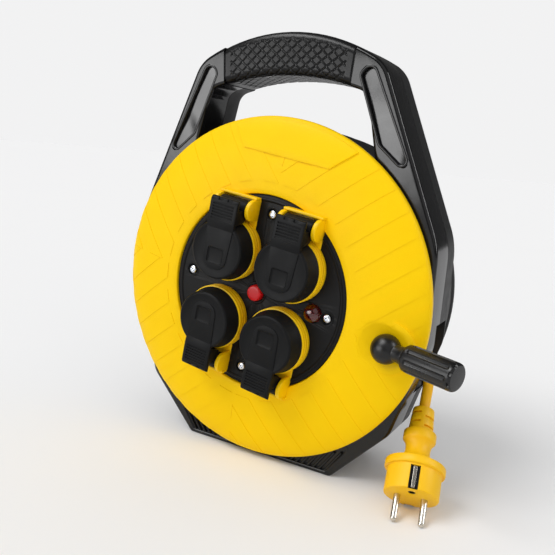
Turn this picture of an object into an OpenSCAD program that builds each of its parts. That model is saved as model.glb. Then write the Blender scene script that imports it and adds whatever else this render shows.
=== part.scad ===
// Extension cord reel: a closed two-shell housing with a carrying handle, a drum that turns
// in it, four covered earthed sockets on the drum's face, a folding winding crank and a lead
// with a moulded plug. Millimetres, +Z up. The origin is the middle of the base, on the floor.
// +Y points to the back. The drum turns about an axis along Y, axis_h above the floor.

/* [Drum face] */
// Radius of the yellow front disc
disc_r = 133; // [132:0.5:136]
// How far the disc's inner edge stands in front of its rim
disc_rise = 11.5; // [9:0.5:14]
// Wall thickness of the disc
disc_wall = 3; // [2:0.2:4]
// Radius of the black socket plate
plate_r = 75; // [73:0.5:78]
// Thickness of the socket plate
plate_t = 3; // [2:0.2:4]
// Depth of the plate's face below the disc's inner edge
plate_sink = 1.7; // [1:0.1:2.5]
// Radius of the circle of plate screws
plate_screw_pcr = 61.4; // [60.5:0.1:62.5]
// Angle by which the drum stands turned at rest, clockwise from the front
reel_rest = 8.5; // [0:0.5:20]

/* [Sockets] */
// Distance from the axis to each socket, across and up
socket_half = 28; // [27.5:0.1:29]
// Outer radius of a socket's yellow ring
ring_r = 25; // [24.4:0.1:25.4]
// How far the ring stands in front of the plate
ring_h = 9.5; // [8:0.5:11]
// Radius of the plug recess
well_r = 19.75; // [19.5:0.05:20.2]
// Depth of the plug recess
well_d = 17.5; // [17:0.5:18.5]
// Distance between the two pin holes
pin_pitch = 19; // [18.5:0.5:19.5]

/* [Lids] */
// Radius of a lid's front face
lid_r = 22.1; // [21:0.1:23]
// Radius of a lid at its open rim
lid_rim_r = 24; // [23.2:0.1:24.4]
// Depth of a lid from face to rim
lid_d = 13.8; // [12:0.2:15]
// Wall thickness of a lid
lid_wall = 2; // [1.4:0.1:2.6]
// Distance from the socket's middle to the hinge pin
hinge_v = 33; // [32:0.5:34.5]
// Radius of the hinge pin
hinge_pin_r = 1.5; // [1.2:0.1:1.9]
// Width of the strap over the lid
strap_w = 24; // [20:0.5:24.5]

/* [Crank] */
// Distance from the drum's axis to the crank's ball
crank_pcr = 110; // [106:0.5:112]
// Radius of the crank's ball
ball_r = 10.7; // [10:0.1:11.2]
// Radius of the crank grip
grip_r = 9.8; // [9:0.1:10.6]
// Length of the crank grip
grip_len = 40; // [34:0.5:44]
// Tilt of the folded crank out of the disc's plane
crank_tilt = 18.5; // [14.5:0.5:22.5]

/* [Drum] */
// Outer radius of the winding barrel
barrel_r = 72; // [70:0.5:74]
// Clearance between the rear flange and the chamber
flange_clear = 3.5; // [2.5:0.5:6.5]
// Radius of the fixed axle
axle_r = 10; // [8:0.5:12]
// Running clearance on round bearings
run_gap = 0.08; // [0.03:0.01:0.1]

/* [Housing] */
// Height of the drum's axis above the floor
axis_h = 138; // [137.5:0.5:142]
// Radius of the drum chamber
chamber_r = 121.5; // [121:0.5:123]
// Height of the handle's top above the drum's axis
handle_top = 195; // [190:0.5:200]
// Height of the hand opening's top above the drum's axis
opening_top = 163.5; // [158:0.5:166]
// Half width of the housing at the axis
side_x = 130.5; // [129.5:0.5:134]
// Half width of the flat base
base_x = 67; // [60:0.5:72]

/* [Lead] */
// Diameter of the cable
cord_d = 8.2; // [7.6:0.1:8.4]
// Turns in the winding's outer layer
outer_turns = 7; // [5:1:7]
// Radius of the plug pins
plug_pin_r = 2.4; // [2.3:0.05:2.4]
// Radius of the plug's round body
plug_r = 19.4; // [19:0.1:19.6]

/* [Hidden] */

$fn = 64;
eps = 0.01;
gap = 0.3;

// Depths, measured from the disc's rim plane towards the back
shell_front = 8;
parting = 36.5;
frame_back = 56;
base_back = 74;
body_back = 89;
wall_t = 3;
mid_y = 41;
// The base runs from shell_front to base_back, and mid_y is its middle
face_y = -disc_rise;
plate_y = face_y + plate_sink;
ring_y = plate_y - ring_h;
lid_rim_y = ring_y - gap;
lid_face_y = lid_rim_y - lid_d;
hinge_y = plate_y - 8.2;

yellow = [0.98, 0.80, 0.05];
cord_yellow = [0.96, 0.66, 0.08];
black = [0.07, 0.07, 0.08];
grey_black = [0.13, 0.13, 0.14];
steel = [0.75, 0.76, 0.78];
brass = [0.78, 0.62, 0.30];

// ---------- helpers ----------
// Everything is drawn round the drum's axis, with Y from the disc's rim plane
module at_axis() {
    translate([0, -mid_y, axis_h]) children();
}

// The drum's own pieces are also turned to the rest angle
module at_reel() {
    at_axis() rotate([0, reel_rest, 0]) children();
}

// Turns a profile of [radius, depth] points round the Y axis
module turned(profile) {
    rotate([-90, 0, 0]) rotate_extrude($fn = 96) polygon(profile);
}

// A round bar along Y from depth y0 to depth y1
module bar(r, y0, y1, r1 = undef) {
    r_back = is_undef(r1) ? r : r1;
    translate([0, y0, 0]) rotate([-90, 0, 0]) cylinder(r1 = r, r2 = r_back, h = y1 - y0);
}

// An outline in X and Z, pushed from depth y0 to depth y1
module slab(points, y0, y1) {
    translate([0, y1, 0]) rotate([90, 0, 0]) linear_extrude(y1 - y0) polygon(points);
}

// Corner list [x, z, radius] to an outline with round corners
function unit(v) = v / norm(v);
function cross2(a, b) = a[0] * b[1] - a[1] * b[0];
function corner_pts(a, b, c, r) =
    let (
        step = r > 50 ? 5 : 12,
        u = unit([a[0] - b[0], a[1] - b[1]]),
        w = unit([c[0] - b[0], c[1] - b[1]]),
        half = acos(max(-1, min(1, u * w))) / 2,
        reach = r / tan(half),
        mid = [b[0], b[1]] + unit(u + w) * r / sin(half),
        p = [b[0], b[1]] + u * reach,
        q = [b[0], b[1]] + w * reach,
        a0 = atan2(p[1] - mid[1], p[0] - mid[0]),
        turn = 180 - 2 * half,
        side = cross2(w, u) > 0 ? 1 : -1,
        count = max(1, ceil(turn / step))
    )
    [for (i = [0:count]) mid + r * [cos(a0 + side * turn * i / count), sin(a0 + side * turn * i / count)]];
function rounded(corners) =
    let (
        n = len(corners),
        all = [for (i = [0:n - 1])
            each (corners[i][2] == 0
                ? [[corners[i][0], corners[i][1]]]
                : corner_pts(corners[(i + n - 1) % n], corners[i], corners[(i + 1) % n], corners[i][2]))]
    )
    [for (i = [0:len(all) - 1]) if (norm(all[i] - all[(i + 1) % len(all)]) > 0.3) all[i]];
// The right half of an outline and its mirror image, as one loop
function both_sides(half) =
    concat(half, [for (i = [len(half) - 1:-1:0]) [-half[i][0], half[i][1], half[i][2]]]);

// A plate with a shaped edge: the loop is drawn in by the inset at each depth
function loop_normal(loop, i) =
    let (
        n = len(loop),
        u = unit(loop[i] - loop[(i + n - 1) % n]),
        w = unit(loop[(i + 1) % n] - loop[i]),
        m = unit(u + w)
    )
    [-m[1], m[0]] / max(0.5, m * u);
// Its flat faces in strips from the loop's right side to its left side
function cap_faces(n) = [
    for (i = [0:ceil(n / 2) - 2])
        let (b = n - (n % 2 == 1 ? 1 : 2) - i, a = (b + 1) % n)
        each concat([[i, i + 1, b]], a == i ? [] : [[i, b, a]])
];
module shaped_plate(loop, layers) {
    n = len(loop);
    normals = [for (i = [0:n - 1]) loop_normal(loop, i)];
    points = [
        for (layer = layers)
            for (i = [0:n - 1])
                let (p = loop[i] + normals[i] * layer[1])
                [p[0], layer[0], p[1]]
    ];
    walls = [
        for (k = [0:len(layers) - 2])
            for (i = [0:n - 1])
                let (a = k * n + i, b = k * n + (i + 1) % n)
                each [[a, a + n, b + n], [a, b + n, b]]
    ];
    last = (len(layers) - 1) * n;
    back = [for (t = cap_faces(n)) [last + t[2], last + t[1], last + t[0]]];
    polyhedron(points, concat(cap_faces(n), walls, back), convexity = 10);
}

// A tube swept along points, with flat ends square to the path
function path_dir(path, i) =
    unit(path[min(i + 1, len(path) - 1)] - path[max(i - 1, 0)]);
module swept_tube(path, d, sides) {
    rings = [
        for (i = [0:len(path) - 1])
            let (
                t = path_dir(path, i),
                u = unit(cross(t, [0, 1, 0.001])),
                v = cross(t, u)
            )
            [for (k = [0:sides - 1]) path[i] + d / 2 * (u * cos(360 * k / sides) + v * sin(360 * k / sides))]
    ];
    walls = [
        for (i = [0:len(path) - 2])
            for (k = [0:sides - 1])
                let (a = i * sides + k, b = i * sides + (k + 1) % sides)
                each [[a, b, b + sides], [a, b + sides, a + sides]]
    ];
    last = (len(path) - 1) * sides;
    polyhedron(
        [for (ring = rings) each ring],
        concat(
            [for (k = [1:sides - 2]) [0, k + 1, k]],
            walls,
            [for (k = [1:sides - 2]) [last, last + k, last + k + 1]]
        ),
        convexity = 10
    );
}

// ---------- housing outlines ----------
frame_half = [
    [37.5, handle_top, 145], [78.3, handle_top - 22.6, 27], [side_x, 50.1, 60],
    [side_x, -24, 30], [side_x - 20, -92, 14], [base_x, -axis_h, 5]
];
opening_half = [
    [30.7, opening_top, 190], [67, opening_top - 11.5, 12], [79.5, chamber_r - 25, 3]
];
body_r = chamber_r + 6;
frame_loop = rounded(both_sides(frame_half));
panel_half = [[108, 93.5, 3], [80, 117, 4], [61, 164, 4], [69, 173.5, 5]];
panel_right = rounded(panel_half);
function mirrored(loop) = [for (i = [len(loop) - 1:-1:0]) [-loop[i][0], loop[i][1]]];

edge_layers = [[shell_front, -4.5], [shell_front + 1.4, -1.8], [shell_front + 4.5, 0],
    [frame_back - 5, 0], [frame_back - 1.5, -1.8], [frame_back, -4.5]];
opening_loop = rounded(both_sides(concat(opening_half, [[70, chamber_r - 40, 0]])));

// The frame's outline from front to back, drawn in by a further skin
module frame_block(skin) {
    shaped_plate(frame_loop, [for (k = edge_layers) [k[0] + (k[0] < parting ? skin : -skin), k[1] - skin]]);
}
opening_layers = [[shell_front - 1, 5.2], [shell_front + 1.4, 1.8], [shell_front + 4.5, 0],
    [frame_back - 5, 0], [frame_back - 1.5, 1.8], [frame_back + 1, 5.2]];

// The hand opening between the handle's legs, widened by the same skin
module hand_opening(skin) {
    shaped_plate(opening_loop, [
        for (k = opening_layers) [k[0] + (k[0] < parting ? skin : -skin), k[1] + skin]
    ]);
}
// Screws hold the two halves together, each with its length in the front half
screw_len = 22;
boss_r = 6;
screw_half = [
    [88, 117], (chamber_r + 6.44) * [cos(27.97), -sin(27.97)], [base_x - 5, 11 - axis_h], [70, handle_top - 27]
];
screw_spots = [for (s = screw_half) for (side = [1, -1]) [side * s[0], s[1]]];
module at_screws() {
    for (s = screw_spots) translate([s[0], 0, s[1]]) children();
}

// Where the lead leaves the chamber through the right-hand wall
exit_z = [-62, -8];
exit_y = [28, 52];
module cord_exit() {
    // below, it stays in the outer wall, clear of the housing screw
    slab([
        [chamber_r - 12, exit_z[1]], [side_x + 9, exit_z[1]], [side_x + 9, exit_z[0]],
        [chamber_r - 3, exit_z[0]], [chamber_r - 3, exit_z[0] + 10], [chamber_r - 12, exit_z[0] + 18]
    ], exit_y[0], exit_y[1]);
}

rib_pitch = 5.5;
module foot_ribs() {
    // Upright grooves in the front of both feet, inside a plain border
    for (side = [-1, 1])
        for (i = [0:9])
            let (x = 38 + i * rib_pitch * 0.8)
            translate([side * x, shell_front - eps, -axis_h + 5])
                rotate([0, side * -14, 0]) cube([2.2, 1.8, 36 - abs(i - 5) * 2]);
}

module shell_half(y0, y1) {
    intersection() {
        frame_block(0);
        translate([-handle_top, y0, -handle_top]) cube([2 * handle_top, y1 - y0, 2 * handle_top + 1]);
    }
}
module front_shell() {
    color(black) at_axis() {
        difference() {
            union() {
                difference() {
                    shell_half(shell_front, parting);
                    hand_opening(0);
                }
                turned([
                    [chamber_r - 1, shell_front + 0.5], [body_r - 1.5, shell_front + 0.5],
                    [body_r, shell_front + 2], [body_r, parting], [chamber_r - 1, parting]
                ]);
                at_screws() bar(boss_r, shell_front + 4.5, parting - 2);
            }
            bar(chamber_r, shell_front - 1, parting + 1);
            slab(panel_right, shell_front - 1, shell_front + 3);
            slab(mirrored(panel_right), shell_front - 1, shell_front + 3);
            grip_space();
            cord_exit();
            foot_ribs();
            at_screws() bar(1.7, parting - screw_len + 8, parting + 1);
        }
    }
}

// The rear shell: the frame's back half, the flat base and the closed round body
module rear_shell() {
    color(grey_black) at_axis() {
        difference() {
            union() {
                difference() {
                    shell_half(parting, frame_back);
                    hand_opening(0);
                }
                slab(base_loop, parting, base_back);
                turned([
                    [0, parting], [body_r, parting], [body_r, frame_back + 10], [body_r - 1.5, base_back],
                    [body_r - 3, body_back - 4], [body_r - 1.6, body_back - 3.2],
                    [body_r - 1.6, body_back - 0.8], [body_r - 3, body_back], [chamber_r - 24, body_back], [chamber_r - 30, body_back - 2],
                    [0, body_back - 2]
                ]);
                at_screws() bar(boss_r, parting + 2, frame_back - 5);
            }
            bar(chamber_r, parting - 1, body_back - 2 - wall_t);
            grip_space();
            cord_exit();
            bar(axle_r + 2, body_back - 10, body_back + 1);
            at_screws() {
                bar(1.8, parting - 1, base_back + 1);
                bar(4.2, frame_back - 6, base_back + 1);
            }
        }
    }
}
base_loop = rounded(both_sides([
    [chamber_r - 29.5, -84, 6], [chamber_r - 23.5, -104, 14], [base_x, -axis_h, 5]
]));

// The soft grip: a sleeve segment let into the handle's arch
grip_depth = 1.4;
grip_half = 52;
module grip_zone() {
    slab([
        [-grip_half, opening_top - 33.5], [grip_half, opening_top - 33.5],
        [grip_half + 6, handle_top + 10], [-grip_half - 6, handle_top + 10]
    ], shell_front - 2, frame_back + 2);
}
module grip_core() {
    difference() {
        frame_block(grip_depth);
        hand_opening(grip_depth);
    }
}
module grip_space() {
    difference() {
        grip_zone();
        grip_core();
    }
}
module handle_grip() {
    color([0.05, 0.05, 0.055]) at_axis() {
        difference() {
            intersection() {
                frame_block(0);
                grip_zone();
            }
            hand_opening(0);
            grip_core();
        }
    }
}

module housing_screws() {
    color(steel) at_axis() {
        at_screws() {
            bar(1.7, parting - screw_len + 9, frame_back - 6);
            difference() {
                bar(4, frame_back - 6, frame_back - 3.4);
                for (a = [0, 90]) rotate([0, a, 0])
                    translate([-2.4, frame_back - 5, -0.45]) cube([4.8, 3, 0.9]);
            }
        }
    }
}

// ---------- axle ----------
axle_front = 41;
module axle() {
    color(steel) at_axis() {
        difference() {
            union() {
                bar(axle_r, axle_front, body_back - 2 - wall_t);
                bar(axle_r + 2, body_back - 2 - wall_t - 2, body_back - 2);
                bar(axle_r + 6, body_back - 2 - wall_t - 2, body_back - 2 - wall_t);
            }
            bar(2.6, axle_front - 1, axle_front + 18);
        }
    }
}
module axle_washer() {
    color(steel) at_axis() difference() {
        bar(axle_r + 4, axle_front - 1.6, axle_front);
        bar(2.8, axle_front - 3, axle_front + 1);
    }
}
module axle_screw() {
    color(steel) at_axis() {
        bar(2.5, axle_front - 1.6, axle_front + 16);
        difference() {
            bar(5, axle_front - 4.6, axle_front - 1.6);
            for (a = [0, 90]) rotate([0, a, 0]) translate([-3.2, axle_front - 5, -0.6]) cube([6.4, 2, 1.2]);
        }
    }
}

// ---------- drum ----------
seat_y = plate_y + plate_t;
seat_r = barrel_r - 6;
flange_screw_r = barrel_r - 6;
post_r = 4;
screw_bite = 8;
hub_back = body_back - 2 - wall_t - 2 - gap;
flange_y = 76;
flange_r = chamber_r - flange_clear;
crank_angle = 2.7;
crank_yaw = 7.9;
ball_y = face_y - 0.5;
grip_start = 18.3;

// The crank's frame: ball at the origin, X along the folded grip's plan direction
module at_crank() {
    rotate([0, crank_angle, 0]) translate([crank_pcr, ball_y, 0]) rotate([0, -crank_yaw, 0]) children();
}
module at_grip() {
    at_crank() rotate([0, 0, -crank_tilt]) children();
}

module front_disc() {
    rim_lip = 16.5;
    color(yellow) at_reel() {
        difference() {
            union() {
                turned([
                    [plate_r + 0.4, face_y + 0.8], [plate_r + 1.2, face_y], [disc_r - 38, face_y + 1.2],
                    [disc_r - 21, face_y + 3.9], [disc_r - 9, face_y + 7.1], [disc_r - 2.8, face_y + 9.8],
                    [disc_r - 0.6, face_y + 11.3], [disc_r, face_y + 12.8], [disc_r, face_y + rim_lip],
                    [disc_r - 2.5, face_y + rim_lip], [disc_r - 2.7, face_y + 13.2],
                    [disc_r - 9.4, face_y + 7.1 + disc_wall], [disc_r - 21.4, face_y + 3.9 + disc_wall],
                    [disc_r - 38, face_y + 1.2 + disc_wall], [plate_r + 4, face_y + disc_wall],
                    [plate_r + 4, seat_y + 3], [seat_r, seat_y + 3], [seat_r, seat_y],
                    [plate_r + 0.4, seat_y]
                ]);
                at_crank() bar(19, 4, ball_r + 3);
            }
            at_crank() {
                translate([0, -38, 0]) sphere(r = 44.5);
                sphere(r = ball_r + gap);
                rotate([0, 0, -crank_tilt]) rotate([0, 90, 0]) cylinder(r = 7.6, h = 40);
            }
            for (a = [0:90:270]) rotate([0, a, 0]) translate([plate_screw_pcr, 0, 0])
                bar(post_r + gap, seat_y - eps, seat_y + 3 + eps);
        }
        // lug that carries the crank's pin, inside the ball's slot
        at_crank() difference() {
            union() {
                cylinder(r = lug_r, h = lug_t, center = true);
                translate([-lug_r, 0, -lug_t / 2]) cube([2 * lug_r, ball_r + 1.5, lug_t]);
            }
            cylinder(r = crank_pin_r, h = 20, center = true);
        }
    }
}
edge_rise = 0.8;
module socket_plate() {
    color(black) at_reel() {
        difference() {
            union() {
                bar(plate_r, plate_y, seat_y);
                turned([
                    [plate_r - 4.4, plate_y - edge_rise], [plate_r - 3, plate_y - edge_rise],
                    [plate_r - 2.6, plate_y + 1], [plate_r - 4.8, plate_y + 1]
                ]);
            }
            // the raised edge stops at the hinge brackets
            for (i = [0:3]) at_socket(i)
                translate([-bracket_half - gap, plate_y - 2 * edge_rise, ring_r])
                    cube([2 * (bracket_half + gap), 2 * edge_rise, hinge_v + 12]);
            for (i = [0:3]) at_socket(i) bar(ring_r, plate_y - 1, seat_y + 1);
            bar(button_r + 0.3, plate_y - 1, seat_y + 1);
            translate([lamp_x, 0, 0]) bar(lamp_r, plate_y - 1, seat_y + 1);
            for (a = [0:90:270]) rotate([0, a, 0]) translate([plate_screw_pcr, 0, 0]) {
                bar(1.8, plate_y - 1, seat_y + 1);
                bar(4.5, plate_y - 1, plate_y + 1.4);
            }
        }
    }
}
module plate_screws() {
    color(steel) at_reel() {
        for (a = [0:90:270]) rotate([0, a, 0]) translate([plate_screw_pcr, 0, 0]) {
            bar(1.8, plate_y + 1.4, seat_y + screw_bite);
            difference() {
                bar(2.6, plate_y - 0.9, plate_y + 1.4, 3.3);
                for (b = [10, 100]) rotate([0, b, 0])
                    translate([-1.9, plate_y - 1.2, -0.35]) cube([3.8, 1.2, 0.7]);
            }
        }
    }
}
module drum_barrel() {
    web_y = axle_front + gap;
    color(yellow) at_reel() {
        difference() {
            union() {
                turned([
                    [barrel_r - 3, seat_y + 3], [barrel_r, seat_y + 3], [barrel_r, flange_y],
                    [barrel_r - 10, flange_y], [barrel_r - 10, flange_y - 3], [barrel_r - 3, flange_y - 3]
                ]);
                turned([
                    [axle_r + run_gap, web_y], [barrel_r - 2, web_y], [barrel_r - 2, web_y + 3],
                    [axle_r + 6, web_y + 3], [axle_r + 6, hub_back], [axle_r + run_gap, hub_back]
                ]);
                for (a = [0:60:300]) rotate([0, a, 0]) translate([axle_r + 3, web_y + 1, -1.2])
                    cube([barrel_r - axle_r - 5, 12, 2.4]);
                // posts that the plate screws bite into
                for (a = [0:90:270]) rotate([0, a, 0]) translate([plate_screw_pcr, 0, 0])
                    bar(post_r, seat_y, web_y + 1);
            }
            for (a = [0:90:270]) rotate([0, a, 0]) translate([plate_screw_pcr, 0, 0])
                bar(1.8, seat_y - 1, seat_y + screw_bite + 1);
            for (a = [30:60:330]) rotate([0, a, 0]) translate([flange_screw_r, 0, 0])
                bar(1.7, flange_y - 4, flange_y + 1);
            // mouth for the cable's inner end
            rotate([0, 45, 0]) translate([barrel_r - 5, 0, 0]) bar(cord_d / 2 + 1, 20, 32);
        }
    }
}
module rear_flange() {
    color(yellow) at_reel() {
        difference() {
            turned([
                [barrel_r - 10, flange_y], [flange_r, flange_y], [flange_r, flange_y + 2.5],
                [barrel_r - 10, flange_y + 2.5]
            ]);
            for (a = [30:60:330]) rotate([0, a, 0]) translate([flange_screw_r, 0, 0])
                bar(1.7, flange_y - 1, flange_y + 3);
        }
    }
}
module barrel_screws() {
    color(steel) at_reel() {
        for (a = [30:60:330]) rotate([0, a, 0]) translate([flange_screw_r, 0, 0]) {
            bar(1.7, flange_y - 3, flange_y + 2.5);
            bar(3.2, flange_y + 2.5, flange_y + 4.5);
        }
    }
}

// ---------- cable on the drum ----------
pitch = cord_d + 0.5;
layer_step = cord_d * 0.966;
layers = floor((flange_r - cord_d * 0.6 - barrel_r) / layer_step);
outer_layer_r = barrel_r + cord_d / 2 + (layers - 1) * layer_step;
core_r = outer_layer_r - cord_d / 2 - 0.1;
wind_y = 10.5;
function coil_point(t) = [outer_layer_r * cos(360 * t), wind_y + pitch * t, outer_layer_r * sin(360 * t)];
function coil_dir(t) = unit(coil_point(t + 0.005) - coil_point(t - 0.005));
coil_path = concat(
    [coil_point(0) - coil_dir(0) * cord_d],
    [for (i = [0:24 * outer_turns]) coil_point(i / 24)],
    [coil_point(outer_turns) + coil_dir(outer_turns) * cord_d]
);
coil_gap = min([for (i = [1:24 * (outer_turns - 1)]) norm(coil_path[i + 24] - coil_path[i])]) - cord_d;
echo(least_gap_between_turns = coil_gap);
module cable_core() {
    color(cord_yellow) at_reel() turned([
        [barrel_r, wind_y - cord_d / 2], [core_r, wind_y - cord_d / 2],
        [core_r, flange_y], [barrel_r, flange_y]
    ]);
}
module cable_outer_layer() {
    color(cord_yellow) at_reel() swept_tube(coil_path, cord_d, 6);
}

// ---------- sockets ----------
socket_back = ring_y + well_d + 3;
module at_socket(i) {
    sx = (i % 2 == 0) ? -1 : 1;
    upper = i < 2;
    translate([sx * socket_half, 0, (upper ? 1 : -1) * socket_half]) rotate([0, upper ? 0 : 180, 0]) children();
}
ear_in = strap_w / 2 + 1;
ear_t = 3.4;
ear_r = 8;
bracket_half = ear_in + ear_t;
module across(u0, u1) {
    translate([u0, 0, 0]) rotate([90, 0, 90]) linear_extrude(u1 - u0) children();
}
module socket_body(i) {
    color(yellow) at_reel() {
        difference() {
            at_socket(i) difference() {
                union() {
                    turned([
                        [0, socket_back - 3], [well_r, socket_back - 3], [well_r, ring_y + 0.8],
                        [well_r + 0.8, ring_y], [ring_r - 0.8, ring_y], [ring_r, ring_y + 0.8],
                        [ring_r, seat_y], [ring_r + 2, seat_y], [ring_r + 2, seat_y + 2],
                        [well_r + 2, seat_y + 2], [well_r + 2, socket_back], [0, socket_back]
                    ]);
                    // hinge bracket: floor, top wall and two rounded ears
                    translate([-bracket_half, plate_y - 1, ring_r - 6])
                        cube([2 * bracket_half, 1, hinge_v + 16 - ring_r]);
                    translate([-bracket_half, hinge_y + 0.8, hinge_v + ear_r])
                        cube([2 * bracket_half, plate_y - hinge_y - 0.8, 2]);
                    for (s = [-1, 1]) {
                        u0 = s > 0 ? ear_in : -bracket_half;
                        translate([u0, hinge_y, hinge_v]) rotate([0, 90, 0]) cylinder(r = ear_r, h = ear_t);
                        translate([u0, hinge_y, hinge_v - ear_r]) cube([ear_t, plate_y - hinge_y, 2 * ear_r]);
                    }
                }
                bar(well_r, ring_y - 1, socket_back - 3);
                translate([0, hinge_y, hinge_v]) rotate([0, 90, 0])
                    cylinder(r = hinge_pin_r, h = 2 * bracket_half + 2, center = true);
                for (s = [-1, 1]) {
                    translate([s * pin_pitch / 2, 0, 0]) bar(2.7, socket_back - 5, socket_back + 1);
                    translate([-2.2, socket_back - 4, s * (well_r - 1.9) - 0.6]) cube([4.4, 5, 1.2]);
                }
            }
            // the disc's inner edge passes under the bracket's corner
            turned([
                [plate_r - gap, face_y - gap], [disc_r, face_y - gap], [disc_r, seat_y + 4],
                [seat_r - 0.5, seat_y + 4],
                [seat_r - 0.5, seat_y - 0.1], [plate_r - gap, seat_y - 0.1]
            ]);
        }
    }
}
module socket_contacts(i) {
    color(brass) at_reel() at_socket(i) {
        for (s = [-1, 1]) {
            difference() {
                translate([s * pin_pitch / 2, 0, 0]) bar(3.6, socket_back, socket_back + 13);
                translate([s * pin_pitch / 2, 0, 0]) bar(plug_pin_r + 0.2, socket_back - 1, socket_back + 12);
            }
            translate([-2.2, ring_y + 3, s * (well_r - 1.9) - 0.6])
                cube([4.4, socket_back + 3 - ring_y, 1.2]);
        }
        translate([-2.2, socket_back + 5, -well_r + 1.3]) cube([4.4, 1.2, 2 * (well_r - 1.3)]);
    }
}
module lid(i) {
    top = lid_face_y - 1.1;
    tail = 6.4;
    color(black) at_reel() at_socket(i) {
        difference() {
            union() {
                turned([
                    [0, lid_face_y], [lid_r - 1.2, lid_face_y], [lid_r, lid_face_y + 1.2],
                    [lid_rim_r, lid_rim_y], [lid_rim_r - lid_wall, lid_rim_y],
                    [lid_r - lid_wall, lid_face_y + lid_wall], [0, lid_face_y + lid_wall]
                ]);
                // tongue over the face and strap to the hinge
                slab(rounded([
                    [-strap_w / 2, hinge_v + tail, 1.5], [strap_w / 2, hinge_v + tail, 1.5],
                    [strap_w / 2 - 2, -15, 8.5], [-strap_w / 2 + 2, -15, 8.5]
                ]), top, lid_face_y + 1);
                // hinge arm and knuckle, seen from the side
                translate([0, hinge_y, hinge_v]) rotate([0, 90, 0])
                    cylinder(r = 6.7, h = strap_w, center = true);
                across(-strap_w / 2, strap_w / 2) polygon([
                    [top + 0.5, lid_r - 4], [top + 0.5, hinge_v + tail], [top + 3.4, hinge_v + tail],
                    [top + 3.4, hinge_v - 1], [hinge_y - 3, hinge_v - 1], [hinge_y, hinge_v - 6.7],
                    [lid_rim_y - 3, lid_rim_r - 1.5], [lid_face_y + 3, lid_r - 1.2]
                ]);
            }
            translate([0, hinge_y, hinge_v]) rotate([0, 90, 0])
                cylinder(r = hinge_pin_r + run_gap, h = strap_w + 2, center = true);
            for (k = [0:5])
                translate([-strap_w / 2 + 3, top - 1, hinge_v - 1 - k * 2.2]) cube([strap_w - 6, 1.6, 0.9]);
            slab(rounded([[-7, 4, 1.5], [7, 4, 1.5], [7, -9, 3], [-7, -9, 3]]), top - 1, top + 0.6);
            for (s = [-1, 1]) translate([s * 4 - 1, top - 1, hinge_v + 3.6]) cube([2, 2.4, 3.4]);
        }
    }
}
module lid_pin(i) {
    color(steel) at_reel() at_socket(i)
        translate([0, hinge_y, hinge_v]) rotate([0, 90, 0])
            cylinder(r = hinge_pin_r, h = 2 * (bracket_half - gap), center = true);
}

// ---------- cut-out and lamp ----------
button_r = 6.2;
button_out = 4.6;
button_travel = 2;
lamp_x = 49.5;
lamp_r = 7.2;
module cutout_body() {
    color(grey_black) at_reel() difference() {
        bar(9, seat_y, seat_y + 26);
        bar(button_r + run_gap, seat_y - 1, seat_y + 8);
    }
}
module cutout_button() {
    color([0.85, 0.08, 0.10]) at_reel() turned([
        [0, plate_y - button_out], [button_r - 0.8, plate_y - button_out],
        [button_r, plate_y - button_out + 0.8], [button_r, seat_y + 8 - button_travel - gap],
        [0, seat_y + 8 - button_travel - gap]
    ]);
}
module lamp_base() {
    color(grey_black) at_reel() translate([lamp_x, 0, 0]) difference() {
        bar(lamp_r + 0.4, seat_y, seat_y + 16);
        bar(lamp_r - 1.6, seat_y - 1, seat_y + 12);
    }
}
module lamp_lens() {
    dome = [for (a = [0:10:90]) [lamp_r * sin(a), plate_y - (lamp_r - 1.4) * cos(a)]];
    hollow = [for (a = [90:-15:0]) [(lamp_r - 1.8) * sin(a), plate_y - (lamp_r - 3.2) * cos(a)]];
    color([0.75, 0.02, 0.05, 0.8]) at_reel() translate([lamp_x, 0, 0])
        turned(concat(dome, [[lamp_r, seat_y], [lamp_r - 1.8, seat_y]], hollow));
}

// ---------- crank ----------
stem_r = 4;
lug_r = 3.2;
lug_t = 5;
crank_pin_r = 1.6;
crank_swing = 70;
module crank_pin() {
    color(steel) at_reel() at_crank() cylinder(r = crank_pin_r, h = 13, center = true);
}
module crank_stem() {
    slot_from = 90 + crank_tilt;
    color(black) at_reel() at_grip() {
        difference() {
            union() {
                sphere(r = ball_r, $fn = 96);
                rotate([0, 90, 0]) cylinder(r = 6.8, h = grip_start - gap);
                rotate([0, 90, 0]) cylinder(r = stem_r, h = grip_start + grip_len - 8);
                translate([grip_start + grip_len - 12, 0, 0]) rotate([0, 90, 0])
                    cylinder(r1 = stem_r + 1.4, r2 = stem_r, h = 4);
            }
            cylinder(r = crank_pin_r + run_gap, h = 13.6, center = true);
            // slot that swings round the disc's lug
            cylinder(r = lug_r + gap, h = lug_t + 2 * gap, center = true);
            for (a = [slot_from, slot_from + crank_swing]) rotate([0, 0, a])
                translate([0, -lug_r - gap, -lug_t / 2 - gap]) cube([20, 2 * (lug_r + gap), lug_t + 2 * gap]);
            translate([0, 0, -lug_t / 2 - gap]) linear_extrude(lug_t + 2 * gap)
                polygon([[0, 0], for (k = [0:4]) let (a = slot_from + crank_swing * k / 4) 20 * [cos(a), sin(a)]]);
        }
    }
}
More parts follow.
